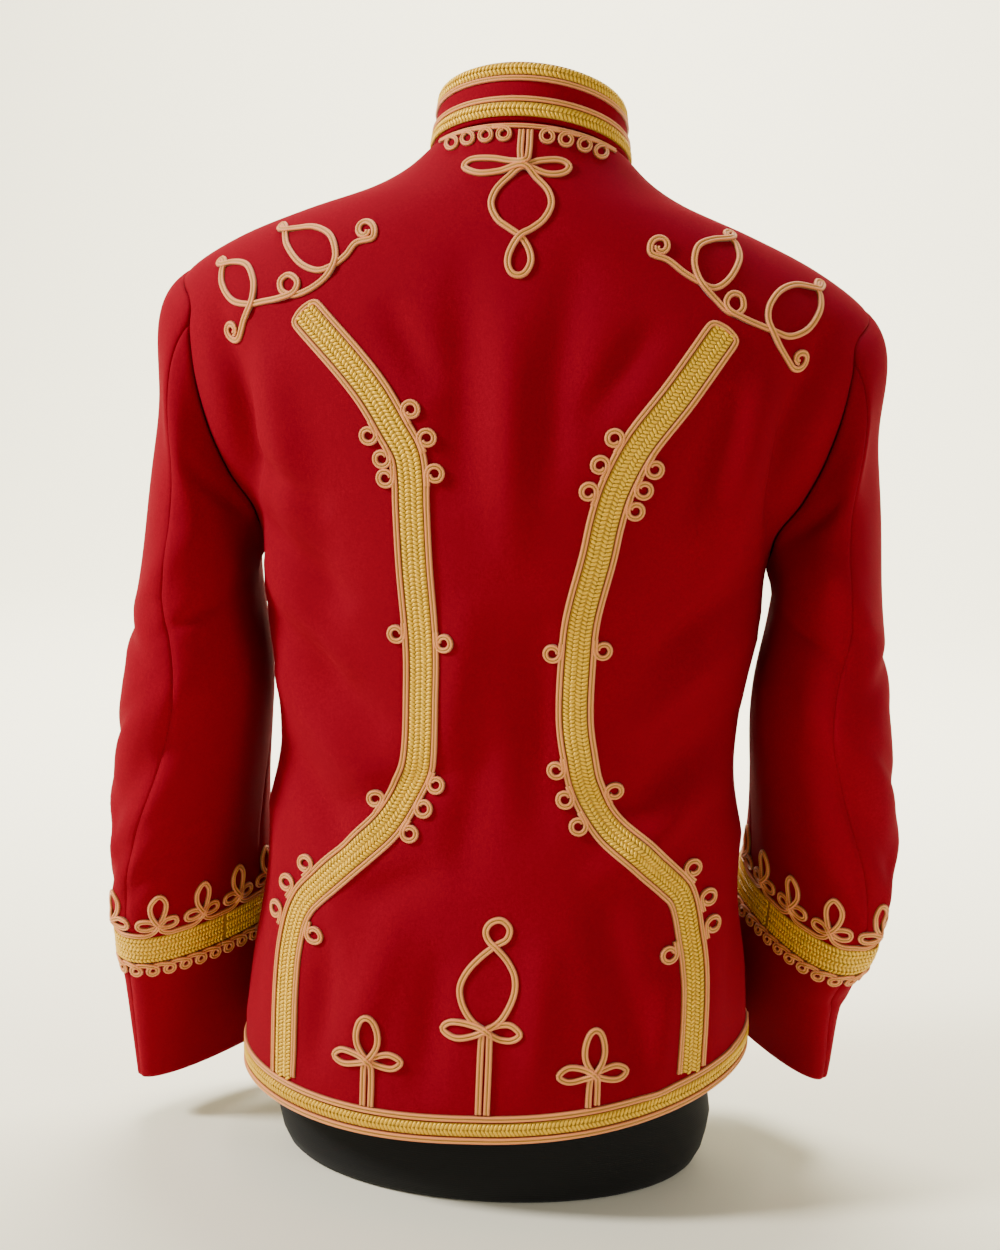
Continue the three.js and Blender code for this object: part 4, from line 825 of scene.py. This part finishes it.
least = node(plaits, "ShaderNodeMath", {1: given.outputs["Uneven"]}, operation="SUBTRACT")
least.inputs[0].default_value = 1.0
most = node(plaits, "ShaderNodeMath", {1: given.outputs["Uneven"]}, operation="ADD")
most.inputs[0].default_value = 1.0
uneven = node(plaits, "FunctionNodeRandomValue", {2: least.outputs[0], 3: most.outputs[0]}, data_type="FLOAT")
uneven.inputs["Seed"].default_value = 7
placed = node(plaits, "GeometryNodeInstanceOnPoints",
              {"Points": given.outputs["Geometry"], "Instance": grain.outputs[0],
               "Rotation": turn.outputs["Attribute"], "Scale": uneven.outputs[1]})
smooth = node(plaits, "GeometryNodeSetShadeSmooth", {"Geometry": placed.outputs[0]})
real = node(plaits, "GeometryNodeRealizeInstances", {"Geometry": smooth.outputs[0]})
wound = node(plaits, "GeometryNodeSetMaterial",
             {"Geometry": real.outputs[0], "Material": given.outputs["Thread"]})
node(plaits, "NodeGroupOutput", {"Geometry": wound.outputs[0]})

PLAIT_PITCH = 2.7       # from one grain to the next in a column
PLAIT_SLANT = 58        # degrees between a grain and the lace's way
PLAIT_TILT = 0.12       # how much a grain's leading end rises over the one before
PLAIT_LIFT = 0.25       # a grain's middle above the ribbon
PLAIT_INSET = 0.96      # how much of the half width the columns take
WIDE_LACE = 10          # lace over this width has four columns, and narrower lace has two
GRAIN_WIDTH, GRAIN_HEIGHT = 2.5, 1.5
GRAIN_REACH = 0.98      # a grain's length over the width of its column
GRAIN_UNEVEN = 0.08


def plait_marks(surface, path, columns, closed):
    """Places and rotations of the grains of a length of lace; every other column slants the other way."""
    spots, turns = [], []
    for number, offset in enumerate(columns):
        line = even_on(surface, beside(surface, path, offset, closed), PLAIT_PITCH, closed)
        if number % 2 and not closed:
            line = (line[1:] + line[:-1]) / 2
        p, n, tangent, across = frames_on(surface, line, closed)
        a = math.radians(PLAIT_SLANT * (-1) ** number)
        x_way = tangent * math.cos(a) + across * math.sin(a)
        x_way = unit(x_way - n * np.sum(x_way * n, -1, keepdims=True) + n * PLAIT_TILT)
        y_way = unit(np.cross(n, x_way))
        z_way = np.cross(x_way, y_way)
        spots.append(p + n * (LACE_THICK + PLAIT_LIFT))
        turns.append(np.stack([x_way, y_way, z_way], -1))
    return np.concatenate(spots), np.concatenate(turns)


def quaternions(m):
    """Rotation matrices as quaternions, the real part first."""
    w = np.sqrt(np.maximum(0, 1 + m[:, 0, 0] + m[:, 1, 1] + m[:, 2, 2])) / 2
    x = np.sqrt(np.maximum(0, 1 + m[:, 0, 0] - m[:, 1, 1] - m[:, 2, 2])) / 2
    y = np.sqrt(np.maximum(0, 1 - m[:, 0, 0] + m[:, 1, 1] - m[:, 2, 2])) / 2
    z = np.sqrt(np.maximum(0, 1 - m[:, 0, 0] - m[:, 1, 1] + m[:, 2, 2])) / 2
    x = np.copysign(x, m[:, 2, 1] - m[:, 1, 2])
    y = np.copysign(y, m[:, 0, 2] - m[:, 2, 0])
    z = np.copysign(z, m[:, 1, 0] - m[:, 0, 1])
    q = np.stack([w, x, y, z], -1)
    return q / np.linalg.norm(q, axis=1, keepdims=True)


def lace(name, cad_node, surface, path, width, closed=False, columns=None):
    """A length of lace: its ribbon, and the plaits on it in columns at shares of its half width."""
    half = width / 2
    path = even_on(surface, path, LACE_STEP, closed)
    nets = [surface(beside(surface, path, half * share, closed)[:, :2]) for share in lace_across]
    top = np.stack([p + n * (LACE_THICK * rise) for (p, n), rise in zip(nets, lace_rise)], 1)
    low = np.stack([p - n * LACE_SINK for p, n in nets], 1)[:, ::-1]
    loops = np.concatenate([top, low], 1)
    girth = half * np.array(lace_across + lace_across[::-1] + lace_across[:1])
    ribbon = trim_object(f"{name}_ribbon", [tube(loops, girth, LACE_STEP * np.arange(len(path) + 1), closed)],
                         lace_ground, sharp=50)
    if columns is None:
        count = 4 if width > WIDE_LACE else 2
        columns = [((2 * k + 1) / count - 1) * PLAIT_INSET for k in range(count)]
    spots, turns = plait_marks(surface, path, [place * half for place in columns], closed)
    marks = bpy.data.meshes.new(f"{name}_marks")
    marks.from_pydata(((spots + SHIFT) * MM).tolist(), [], [])
    marks.attributes.new("turn", "QUATERNION", "POINT").data.foreach_set("value", quaternions(turns).ravel())
    holder = bpy.data.objects.new(f"{name}_marks", marks)
    scene.collection.objects.link(holder)
    made = holder.modifiers.new("grains", "NODES")
    made.node_group = plaits
    sockets = {item.name: item.identifier for item in plaits.interface.items_tree if item.in_out == "INPUT"}
    grain_length = width / len(columns) * GRAIN_REACH / math.sin(math.radians(PLAIT_SLANT))
    for socket, value in (("Grain Length", grain_length), ("Grain Width", GRAIN_WIDTH),
                          ("Grain Height", GRAIN_HEIGHT), ("Uneven", GRAIN_UNEVEN), ("Thread", gilt_lace)):
        made[sockets[socket]] = value
    grown = bpy.data.meshes.new_from_object(holder.evaluated_get(bpy.context.evaluated_depsgraph_get()))
    bpy.data.objects.remove(holder)
    plaited = bpy.data.objects.new(f"{name}_plaits", grown)
    scene.collection.objects.link(plaited)
    settle(ribbon, cad_node)
    settle(plaited, cad_node)


def hem_height(x):
    at = np.zeros_like(x)
    return ring_point(angle_at(x, at), at, rings["half"][0])[..., 2] + HEM_TRIM_TOP


def cut_at_hem(path):
    """The part of a path down the back that is above the hem's trim."""
    return path[path[:, 1] > hem_height(path[:, 0])]


band_paths = {}
for side in (1, -1):
    band_paths[side] = path = cut_at_hem(spline([(side * x, z) for x, z in band_points[side]], 2.0))
    end = path[0] + unit(path[0] - path[3]) * BAND_LACE_END
    lace(f"band_{side_name[side]}", f"back_lace_{side_name[side]}", back_map, np.concatenate([[end], path]),
         BAND_LACE)


def level_run(turn, height):
    """A path round the body at one height."""
    return np.stack([turn, np.full(len(turn), height)], -1)


# the hem's trims stop short of the right front's edge, and end on the left one's, in radians
HEM_SHORT, HEM_OVER, COLLAR_SHORT = 0.075, 0.04, 0.1
hem_turn = np.linspace(np.pi - HEM_SHORT, -np.pi - HEM_OVER, 500)
lace("hem", "hem_lace", hem_map, level_run(hem_turn, HEM_LACE_MIDDLE), HEM_LACE)

collar_turn = np.linspace(np.pi - COLLAR_SHORT, -np.pi + COLLAR_SHORT, 260)
for name, height, width in (("collar_lace_low", 7, 8.6), ("collar_lace_top", 32, 7.4)):
    lace(f"{name}_gilt", name, collar_map, level_run(collar_turn, height), width)

CUFF_COLUMN, CUFF_COLUMN_STEP = -0.82, 0.328    # the cuffs' six columns, as shares of the half width
for side, (cuff_map, girth) in cuff_maps.items():
    name = f"cuff_lace_{side_name[side]}"
    lace(f"{name}_gilt", name, cuff_map,
         level_run(np.linspace(0, girth, 160, endpoint=False), cuff_middle[side]), CUFF_LACE, closed=True,
         columns=[CUFF_COLUMN + CUFF_COLUMN_STEP * k for k in range(6)])


# ------------------------------------------------------------------ braid cord
# Russia braid, a flat double cord of salmon silk with a gold core, couched down by hand. It edges
# every lace, throws off curls, and is laid out in knots that pass over and under themselves.

BRAID_WIDTH, BRAID_HEIGHT, BRAID_STEP = 4.4, 1.7, 1.6
EDGE_WIDTH, CURL_WIDTH, COLLAR_WIDTH, NECK_WIDTH = 3.9, 3.7, 3.4, 3.0
SHOULDER_WIDTH, TREFOIL_WIDTH = 4.2, 4.3
LACE_GAP = 0.5                      # between a lace and the cord that edges it
CORD_OFFSET = BAND_LACE / 2 + LACE_GAP + EDGE_WIDTH / 2
CUFF_OFFSET = CUFF_LACE / 2 + LACE_GAP + CURL_WIDTH / 2
half_section = [(1, -0.25), (1, 0.35), (0.86, 0.78), (0.55, 1.0), (0.22, 0.84)]
braid_section = np.array([(-x, y) for x, y in half_section] + [(0, 0.45)]
                         + half_section[::-1]) * [BRAID_WIDTH / 2, BRAID_HEIGHT]

# silk wound over cotton: two salmon ridges either side of a gold groove, with gold at the outer edges,
# darkest at the groove's bottom and the outer sides as painted shade; the plait's threads cross every
# 1.5 mm, with painted shade in the dips between them
silk, tree = new_material("silk_braid_salmon")
parts_uv = node(tree, "ShaderNodeSeparateXYZ",
                {"Vector": node(tree, "ShaderNodeUVMap", uv_map="UVMap").outputs["UV"]})
off_middle = node(tree, "ShaderNodeMath", {0: parts_uv.outputs["X"]}, operation="ABSOLUTE")
share_node = node(tree, "ShaderNodeMath", {0: off_middle.outputs[0]}, operation="DIVIDE")
share_node.inputs[1].default_value = BRAID_WIDTH / 2 * MM
ramp = node(tree, "ShaderNodeValToRGB", {"Fac": share_node.outputs[0]})
# painted shade: the darkest stops, at the groove's bottom (0) and the outer sides (1), stand in for the shade
# there
colour_and_painted_shade_stops = [(0.0, 0x84600C), (0.14, 0xC88E1C), (0.32, 0xF09A44), (0.75, 0xF4965A), (0.92, 0xE08038),
         (1.0, 0x905A10)]
for element, (position, code) in zip(ramp.color_ramp.elements, (colour_and_painted_shade_stops[0], colour_and_painted_shade_stops[-1])):
    element.position, element.color = position, linear(code)
for position, code in colour_and_painted_shade_stops[1:-1]:
    ramp.color_ramp.elements.new(position).color = linear(code)
slanted = node(tree, "ShaderNodeMath", {0: parts_uv.outputs["Y"], 1: off_middle.outputs[0]}, operation="ADD")
beat = node(tree, "ShaderNodeMath", {0: slanted.outputs[0]}, operation="MULTIPLY")
beat.inputs[1].default_value = 2 * math.pi / (1.5 * MM)
wind = node(tree, "ShaderNodeMath", {0: beat.outputs[0]}, operation="SINE")
wound = node(tree, "ShaderNodeMapRange", {"Value": wind.outputs[0]}, From_Min=-1.0)
# painted shade: the braid's colour darkened in the dips between the crossing threads
painted_dip_shade = node(tree, "ShaderNodeMix", {6: ramp.outputs["Color"]}, data_type="RGBA", blend_type="MULTIPLY")
painted_dip_shade.inputs["Factor"].default_value = 1.0
painted_dip_shade.inputs[7].default_value = (0.72, 0.66, 0.6, 1)
shade = two_tone(tree, wound.outputs[0], painted_dip_shade.outputs[2], ramp.outputs["Color"])
dress(tree, {"Base Color": shade}, wind.outputs[0], 0.35, 0.2, Roughness=0.52, Sheen_Weight=0.2)


def braid(surface, path, closed=False, width=BRAID_WIDTH, base_lift=0.0):
    """A length of braid on a surface. A path's third column lifts it where it crosses over."""
    path = np.asarray(path, float)
    if path.shape[1] == 2:
        path = np.column_stack([path, np.zeros(len(path))])
    path = even_on(surface, path, BRAID_STEP, closed)
    p, n, tangent, across = frames_on(surface, path, closed)
    return swept(p, n, across, braid_section, closed, path[:, 2] + base_lift, width / BRAID_WIDTH)


def lay(name, cad_node, strands):
    """One piece of trimming from a few lengths of braid."""
    settle(trim_object(name, strands, silk), cad_node)


def curl_at(spot, out_way, along_way, radius):
    """A small curl on flat places: a tail on the edging cord, one turn round, and the end tucked in."""
    angle = np.radians(np.linspace(-95, 262, 26))
    r = radius * np.concatenate([np.full(17, 1.0), np.linspace(1.0, 0.74, 9)])
    centre = np.array(spot) + np.array(out_way) * radius
    ring = centre + np.outer(np.sin(angle) * r, out_way) + np.outer(np.cos(angle) * r, along_way)
    tail = [ring[0] - np.array(along_way) * back_by - np.array(out_way) * 0.3 for back_by in (7.0, 4.5, 2.0)]
    return np.concatenate([tail, ring])


# curls of the bands' edges: distance down the band, side (1 towards the armhole), and way they wind
band_curls = {
    -1: table(["down", "side", "way"],
              [[87, 1, 1], [105, 1, 1], [123, 1, 1], [224, 1, 1], [350, 1, -1], [424, 1, -1], [443, 1, -1],
               [460, 1, -1], [86, -1, -1], [105, -1, -1], [122, -1, -1], [230, -1, 1], [320, -1, 1],
               [337, -1, 1], [354, -1, 1], [461, -1, 1]]),
    1: table(["down", "side", "way"],
             [[93, 1, 1], [109, 1, 1], [125, 1, 1], [221, 1, 1], [326, 1, -1], [411, 1, -1], [428, 1, -1],
              [446, 1, -1], [89, -1, -1], [106, -1, -1], [122, -1, -1], [225, -1, 1], [300, -1, 1],
              [317, -1, 1], [334, -1, 1], [454, -1, 1]]),
}
CURL_RADIUS, NECK_CURL_RADIUS = 4.7, 3.9
CURL_LIFT, NECK_CURL_LIFT = 0.25, 0.1
CURL_CLEAR = 0.6                    # a curl starts this far outside the edging cord's middle
END_REACH, END_BULGE = 2, 0.45      # the edging cord's turn round the top of the lace
for side in (1, -1):
    path = band_paths[side]
    ends = [beside(back_map, path, s * CORD_OFFSET) for s in (1, -1)]
    top_way = unit(path[0] - path[3])
    flat_side = np.array([top_way[1], -top_way[0]])
    arc = [path[0] + top_way * END_REACH + flat_side * CORD_OFFSET * math.cos(a)
           + top_way * CORD_OFFSET * END_BULGE * math.sin(a) for a in np.radians([20, 50, 90, 130, 160])]
    if np.linalg.norm(arc[0] - ends[0][0]) > np.linalg.norm(arc[-1] - ends[0][0]):
        arc = arc[::-1]
    run = np.concatenate([ends[0][::-1][::3], np.array(arc), ends[1][::3]])
    run = spline(run, 2.0)
    strands = [braid(back_map, run, width=EDGE_WIDTH)]
    fine = even_on(back_map, spline([(side * x, z) for x, z in band_points[side]], 1.0), 1.0)
    for down, edge_side, way in zip(*band_curls[side].values()):
        i = int(down)
        forward = unit(fine[i + 2] - fine[i - 2])
        aside = np.array([forward[1], -forward[0]])
        aside *= np.sign(aside[0] * side) * edge_side
        spot = fine[i] + aside * (CORD_OFFSET + CURL_CLEAR)
        curl = curl_at(spot, aside, forward * way, CURL_RADIUS)
        strands.append(braid(back_map, curl, width=CURL_WIDTH, base_lift=CURL_LIFT))
    lay(f"band_braid_{side_name[side]}", f"back_cord_{side_name[side]}", strands)

# hem, collar and neck: plain runs along the laces, and the scalloped line under the collar
for name, height in (("hem_cord_low", HEM_CORD_LOW), ("hem_cord_high", HEM_CORD_HIGH)):
    lay(f"{name}_braid", name, [braid(hem_map, level_run(hem_turn, height))])
for name, height in (("collar_cord_low", 13.5), ("collar_cord_top", 26.2)):
    run = level_run(collar_turn, height)
    lay(f"{name}_braid", name, [braid(collar_map, run, width=COLLAR_WIDTH)])


def neck_line(x):
    """The line under the collar on the back, at a distance across."""
    x = np.asarray(x, float)
    at = np.full(x.shape, float(NECK))
    height = ring_point(angle_at(x, at), at, rings["half"][NECK])[..., 2] - NECK_LINE_DROP
    return np.stack([x, height], -1)


NECK_LINE_DROP, NECK_CURL_DROP = 2.9, 1.0
OVER_RISE, CUFF_OVER_RISE = 1.15, 1.0       # how far a cord is lifted by each cord that it passes over
strands = [braid(back_map, neck_line(np.linspace(-56, 56, 60)), width=NECK_WIDTH)]
for x in (14, 26, 38, 49):
    for side in (1, -1):
        before, spot, after = neck_line([side * x - 2.0, side * x, side * x + 2.0])
        slope = unit(after - before)
        curl = curl_at(spot - [0, NECK_CURL_DROP], np.array([slope[1], -slope[0]]), slope * -side,
                       NECK_CURL_RADIUS)
        strands.append(braid(back_map, curl, width=NECK_WIDTH, base_lift=NECK_CURL_LIFT))
lay("neck_line_braid", "neck_cord", strands)


def stroke(points, rise=OVER_RISE):
    """A drawn line of braid: across, height and, where it isn't 0, how many cords it passes over."""
    path = spline([(*point, 0)[:3] for point in points], BRAID_STEP)
    path[:, 2] = np.clip(path[:, 2], 0, None) * rise
    return path


def spiral(centre, radii, start, sweep):
    t = np.linspace(0, 1, 12)
    angle = np.radians(start + sweep * t)
    r = radii[0] + (radii[1] - radii[0]) * t
    return [(centre[0] + ri * math.cos(a), centre[1] + ri * math.sin(a)) for ri, a in zip(r, angle)]


# behind the neck: the stem's two cords cross, make two side loops, an eye and a drop
neck_figure = [(-2.5, 706), (-2.5, 692), (0, 684.5), (10, 687), (22, 688), (28.5, 684.5), (25, 680),
               (15, 679), (0, 682.5, 1), (-9, 676), (-16, 668), (-18.5, 659), (-14, 650), (-6, 644.5),
               (1, 640), (6.5, 633), (8.5, 625), (5.5, 618), (0.5, 616), (-4, 618.5), (-6, 625), (-4, 633),
               (1, 640.5, 1), (8, 645), (15, 651), (19, 660), (16.5, 668.5), (9, 676), (0, 683, 2),
               (-15, 679.5), (-28, 678), (-37.5, 681.5), (-33, 686.5), (-20, 687.5), (-8, 686, 0.4),
               (1, 685.5, 2.6), (2.7, 692), (2.7, 706)]
# standing on the hem: the same figure upside down, with a ring at its tip
tail_figure = [(-1.6, 60), (-1.6, 122), (0, 132), (8, 136.5), (17, 137.5), (23.5, 132.5), (18, 127.5),
               (9, 128), (0.5, 133, 1), (-8.5, 139), (-15, 149), (-17, 160), (-12.5, 171), (-4, 181),
               (5, 188.5), (12, 193), (13.5, 200), (8, 205), (1, 203), (-2, 197), (0.5, 191), (5.5, 187, 1),
               (13, 179), (18, 170), (18.8, 160), (15.5, 149), (9.5, 139), (1, 133.5, 2), (-8, 128.5),
               (-19, 126.5), (-27.5, 131), (-22, 136.5), (-10, 136.5, 0.4), (2, 132.5, 2.6), (3.8, 122),
               (3.8, 60)]
# a trefoil beside it: places from its crossing
trefoil_figure = [(-2.6, -46), (-2.6, -8), (0, 0), (7, 4), (15, 5.5), (22, 1.5), (17, -3.5), (8, -3),
                  (0, 1, 1), (-5.5, 9), (-6.5, 18), (-4, 27), (0, 30), (4, 27), (6.5, 18), (5.5, 9),
                  (0, 1, 2), (-8, -3), (-17, -4.5), (-23, -0.5), (-17, 5), (-7, 4, 0.4), (0.5, 0, 2.6),
                  (2.6, -8), (2.6, -46)]


def above_hem(path):
    return path[path[:, 1] > hem_height(path[:, 0]) - 1.0]


lay("neck_knot_braid", "neck_knot", [braid(back_map, stroke(neck_figure))])
lay("tail_knot_braid", "tail_knot", [braid(back_map, above_hem(stroke(tail_figure)))])
TREFOIL_HEIGHT = 105
for side, across in ((-1, -76), (1, 72.5)):
    line = above_hem(stroke([(across + x, TREFOIL_HEIGHT + z, *over) for x, z, *over in trefoil_figure]))
    lay(f"trefoil_braid_{side_name[side]}", f"tail_trefoil_{side_name[side]}",
        [braid(back_map, line, width=TREFOIL_WIDTH)])

# over each shoulder: one winding cord with a spiral at each end, two eyes with small loops, and a ring
knot_right = (spiral((88, 637), (2.2, 7.0), -180, 405)
              + [(93, 629), (103, 622), (113, 616.5), (123, 613), (132, 619), (138, 631), (136, 640),
                 (131, 645), (128.5, 647), (131.5, 648.5), (134.5, 646), (131, 643.5, 1), (121, 643),
                 (112, 639), (109.5, 630), (111.5, 621, 0.4), (116, 613.5, 1), (124, 606), (131, 599.5),
                 (137, 597.5), (141.5, 601.5), (140, 608.5), (134, 610), (130.5, 605), (132.5, 599.5, 0.8),
                 (140, 595.5, 1), (150, 592), (160, 588.5), (172, 585), (184, 590), (191, 601),
                 (191.5, 610), (189, 615.5), (190, 619.5), (193.5, 618.5), (192, 615), (186, 615, 1),
                 (175, 617), (165, 613), (158.5, 604), (157.5, 595, 0.4), (161, 586.5, 1), (167, 577.5)]
              + spiral((182, 571), (7.2, 2.0), 205, 415))
knot_left = (spiral((-98, 640), (2.2, 7.0), 0, -405)
             + [(-103, 632), (-109, 624), (-117, 617.5), (-127, 614), (-139, 618), (-149, 628), (-152, 635),
                (-153, 640), (-155.5, 642.5), (-157.5, 639.5), (-153, 638, 1), (-144, 640), (-132, 641),
                (-121, 636.5), (-116, 626), (-116.5, 617, 1), (-122, 609), (-131, 602), (-141, 598),
                (-149, 600), (-151, 606.5), (-145.5, 610.5), (-139.5, 606.5), (-141, 599.5, 0.8),
                (-150, 595.5, 1), (-160, 593.5), (-172, 591), (-184, 593), (-192, 602), (-194, 611),
                (-193, 616), (-195.5, 619), (-198, 616), (-194, 614.5, 1), (-186, 617), (-176, 615.5),
                (-170, 606), (-169, 596, 0.4), (-171, 587, 1), (-175, 581.5)]
             + spiral((-186, 574), (7.0, 2.0), -25, -415))
for side, figure in ((1, knot_right), (-1, knot_left)):
    strands = [braid(back_map, stroke(figure), width=SHOULDER_WIDTH)]
    lay(f"shoulder_braid_{side_name[side]}", f"shoulder_knot_{side_name[side]}", strands)

# round each cuff: the upper edge rises into trefoils, and the lower one drops into small loops
cuff_trefoil = [(-16, 0), (-8, 0), (-2.5, 2.5), (0, 8), (6, 12), (12.5, 11.5), (13, 6.5), (6.5, 5),
                (0, 9, 1), (-4.5, 17), (-5, 26), (0, 32), (5, 26), (4.5, 17), (0, 9, 2), (-6.5, 5),
                (-13, 6.5), (-12.5, 11.5), (-6, 12), (0, 8, 2.4), (2.5, 2.5), (8, 0)]
cuff_loop = [(-5, 0), (-1, -0.6), (3, -3.2), (3.2, -7), (0, -8.6), (-3.2, -6.8), (-2.6, -3), (1.5, -0.4, 1)]
FIGURE_CORE = 0.4       # the share of the pitch, either side, that keeps its drawn width
for side, (cuff_map, girth) in cuff_maps.items():
    for name, figure, pitch, height in (
            ("cuff_cord_high", cuff_trefoil, 34, cuff_middle[side] + CUFF_OFFSET),
            ("cuff_cord_low", cuff_loop, 12, cuff_middle[side] - CUFF_OFFSET)):
        count = round(girth / pitch)
        stretch = girth / count / pitch     # taken up by the figure's ends, outside its core
        line = []
        for i in range(count):
            for x, z, *over in figure:
                wide = stretch if abs(x) > pitch * FIGURE_CORE else 1
                line.append((girth * (i + 0.5) / count + x * wide, height + z, *over))
        line.append((line[0][0] + girth, *line[0][1:]))
        strands = [braid(cuff_map, stroke(line, CUFF_OVER_RISE), width=CURL_WIDTH)]
        lay(f"{name}_braid_{side_name[side]}", f"{name}_{side_name[side]}", strands)


# ------------------------------------------------------------------ buttons
# Eight plain domed buttons of gilt brass down the front, pressed from sheet over a shank. Each has a
# rolled rim, and they are sewn along the edge of the left front.

gilt, tree = new_material("gilt_brass_pressed")
wear = noise(tree, 3, 4.0)
rough = node(tree, "ShaderNodeMapRange", {"Value": wear}, To_Min=0.18, To_Max=0.38)
dress(tree, {"Base Color": two_tone(tree, wear, 0xD9A441, 0xF0C868), "Roughness": rough.outputs[0]},
      Metallic=1.0)

button_profile = [(0, 0), (5.6, 0), (7.3, 0.25), (8.0, 0.9), (7.8, 1.5), (7.1, 1.6), (6.6, 2.3), (5.4, 3.6),
                  (3.6, 4.7), (1.8, 5.3), (0, 5.5)]
BUTTON_HALF = 2.75                      # half a button's height
BUTTON_SIDES = 48
BUTTON_FIRST, BUTTON_SHORT = 0.6, 1.5   # each button takes the slope of an evenly spaced place on the front
for number in range(8):
    low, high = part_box(f"button_{number + 1}")
    middle = (np.array(low) + np.array(high)) / 2 / MM - SHIFT
    place = BUTTON_FIRST + (NECK - BUTTON_SHORT) * number / 7
    n = torso_normal(np.array([-np.pi]), np.array([place]))[0]
    side_way = unit(np.cross(n, [0, 0, 1]))
    up_way = np.cross(side_way, n)
    points, faces = [middle - n * BUTTON_HALF], []
    for r, h in button_profile[1:-1]:
        for a in np.arange(BUTTON_SIDES) * 2 * np.pi / BUTTON_SIDES:
            points.append(middle + side_way * r * math.cos(a) + up_way * r * math.sin(a)
                          + n * (h - BUTTON_HALF))
    points.append(middle + n * BUTTON_HALF)
    top = len(points) - 1
    for j in range(BUTTON_SIDES):
        k = (j + 1) % BUTTON_SIDES
        for i in range(len(button_profile) - 3):
            low_ring, high_ring = 1 + i * BUTTON_SIDES, 1 + (i + 1) * BUTTON_SIDES
            faces.append((low_ring + j, low_ring + k, high_ring + k, high_ring + j))
        faces.append((0, 1 + k, 1 + j))
        faces.append((top, top - BUTTON_SIDES + j, top - BUTTON_SIDES + k))
    faces, _ = outward(np.array(points) - middle, faces)
    settle(mesh_object(f"button_dome_{number + 1}", points, faces, gilt), f"button_{number + 1}")


# ------------------------------------------------------------------ studio
# A sheet of warm white paper that sweeps up behind, a soft lamp on the upper left, a weaker one on the
# right, a lamp on the paper behind and a pale surround.

paper, tree = new_material("matt_paper_floor")
dress(tree, {}, Base_Color=linear(0xFBF6DF), Roughness=0.9)
FLOOR_NEAR, FLOOR_HALF, SWEEP_FROM, SWEEP_RADIUS, SWEEP_TOP = -6.0, 7.0, 2.2, 1.8, 6.0
sweep = [(FLOOR_NEAR, 0.0), (SWEEP_FROM, 0.0)]
sweep += [(SWEEP_FROM + SWEEP_RADIUS * math.sin(a), SWEEP_RADIUS * (1 - math.cos(a)))
          for a in np.radians(np.arange(6, 91, 6))]
sweep += [(SWEEP_FROM + SWEEP_RADIUS, SWEEP_TOP)]
floor_mesh = bpy.data.meshes.new("floor")
floor_mesh.from_pydata([(x, y, z) for y, z in sweep for x in (-FLOOR_HALF, FLOOR_HALF)], [],
                       [(2 * i, 2 * i + 1, 2 * i + 3, 2 * i + 2) for i in range(len(sweep) - 1)])
floor_mesh.shade_smooth()
floor_mesh.materials.append(paper)
floor = bpy.data.objects.new("floor", floor_mesh)
scene.collection.objects.link(floor)

world = bpy.data.worlds.new("studio")
scene.world = world
world.use_nodes = True
world.node_tree.nodes["Background"].inputs["Color"].default_value = linear(0xFFF9E2)
world.node_tree.nodes["Background"].inputs["Strength"].default_value = 0.34


def stand(made, spot, right_way, up_way, back_way):
    """Puts a lamp or camera at a spot; it looks against its back way."""
    matrix = np.eye(4)
    matrix[:3] = np.stack([right_way, up_way, back_way, spot], 1)
    made.matrix_world = Matrix(matrix.tolist())


def lamp(name, spot, aim, size, power, colour):
    light = bpy.data.lights.new(name, "AREA")
    light.shape, light.size, light.energy, light.color = "DISK", size, power, colour
    made = bpy.data.objects.new(name, light)
    scene.collection.objects.link(made)
    back_way = unit(np.array(spot) - np.array(aim))
    right_way = unit(np.cross([0, 0, 1], back_way))
    stand(made, spot, right_way, np.cross(back_way, right_way), back_way)


lamp("key", (-2.1, -0.7, 1.8), (0, 0, 0.42), 0.5, 108, (1.0, 0.98, 0.95))
lamp("fill", (2.0, -1.9, 1.2), (0, 0, 0.4), 0.9, 24, (1.0, 0.98, 0.97))
lamp("backdrop", (0.0, 0.9, 2.6), (0, 3.6, 0.9), 2.0, 430, (1.0, 0.98, 0.92))

# the camera stands behind the wearer, a little to the right and above, and is rolled
CAMERA_AZIMUTH, CAMERA_PITCH, CAMERA_ROLL = 3.5, 10.2, 2.3
CAMERA_AWAY, CAMERA_HEIGHT = 1350, 620
SENSOR, FOCAL_PIXELS, FRAME_PIXELS = 36, 1990, 1250
SHIFT_PIXELS = (-12, 2)
camera_data = bpy.data.cameras.new("camera")
camera_data.lens = SENSOR * FOCAL_PIXELS / FRAME_PIXELS
camera_data.sensor_width = SENSOR
camera_data.shift_x, camera_data.shift_y = (pixels / FRAME_PIXELS for pixels in SHIFT_PIXELS)
camera = bpy.data.objects.new("camera", camera_data)
scene.collection.objects.link(camera)
scene.camera = camera
azimuth, pitch, roll = np.radians([CAMERA_AZIMUTH, CAMERA_PITCH, CAMERA_ROLL])
ahead = np.array([-math.sin(azimuth), math.cos(azimuth), 0])
forward = ahead * math.cos(pitch) - [0, 0, math.sin(pitch)]
level = np.array([math.cos(azimuth), math.sin(azimuth), 0])
upright = np.cross(level, forward)
spot = np.array([CAMERA_AWAY * math.sin(azimuth), -CAMERA_AWAY * math.cos(azimuth), CAMERA_HEIGHT])
stand(camera, (spot + SHIFT) * MM, level * math.cos(roll) + upright * math.sin(roll),
      upright * math.cos(roll) - level * math.sin(roll), -forward)
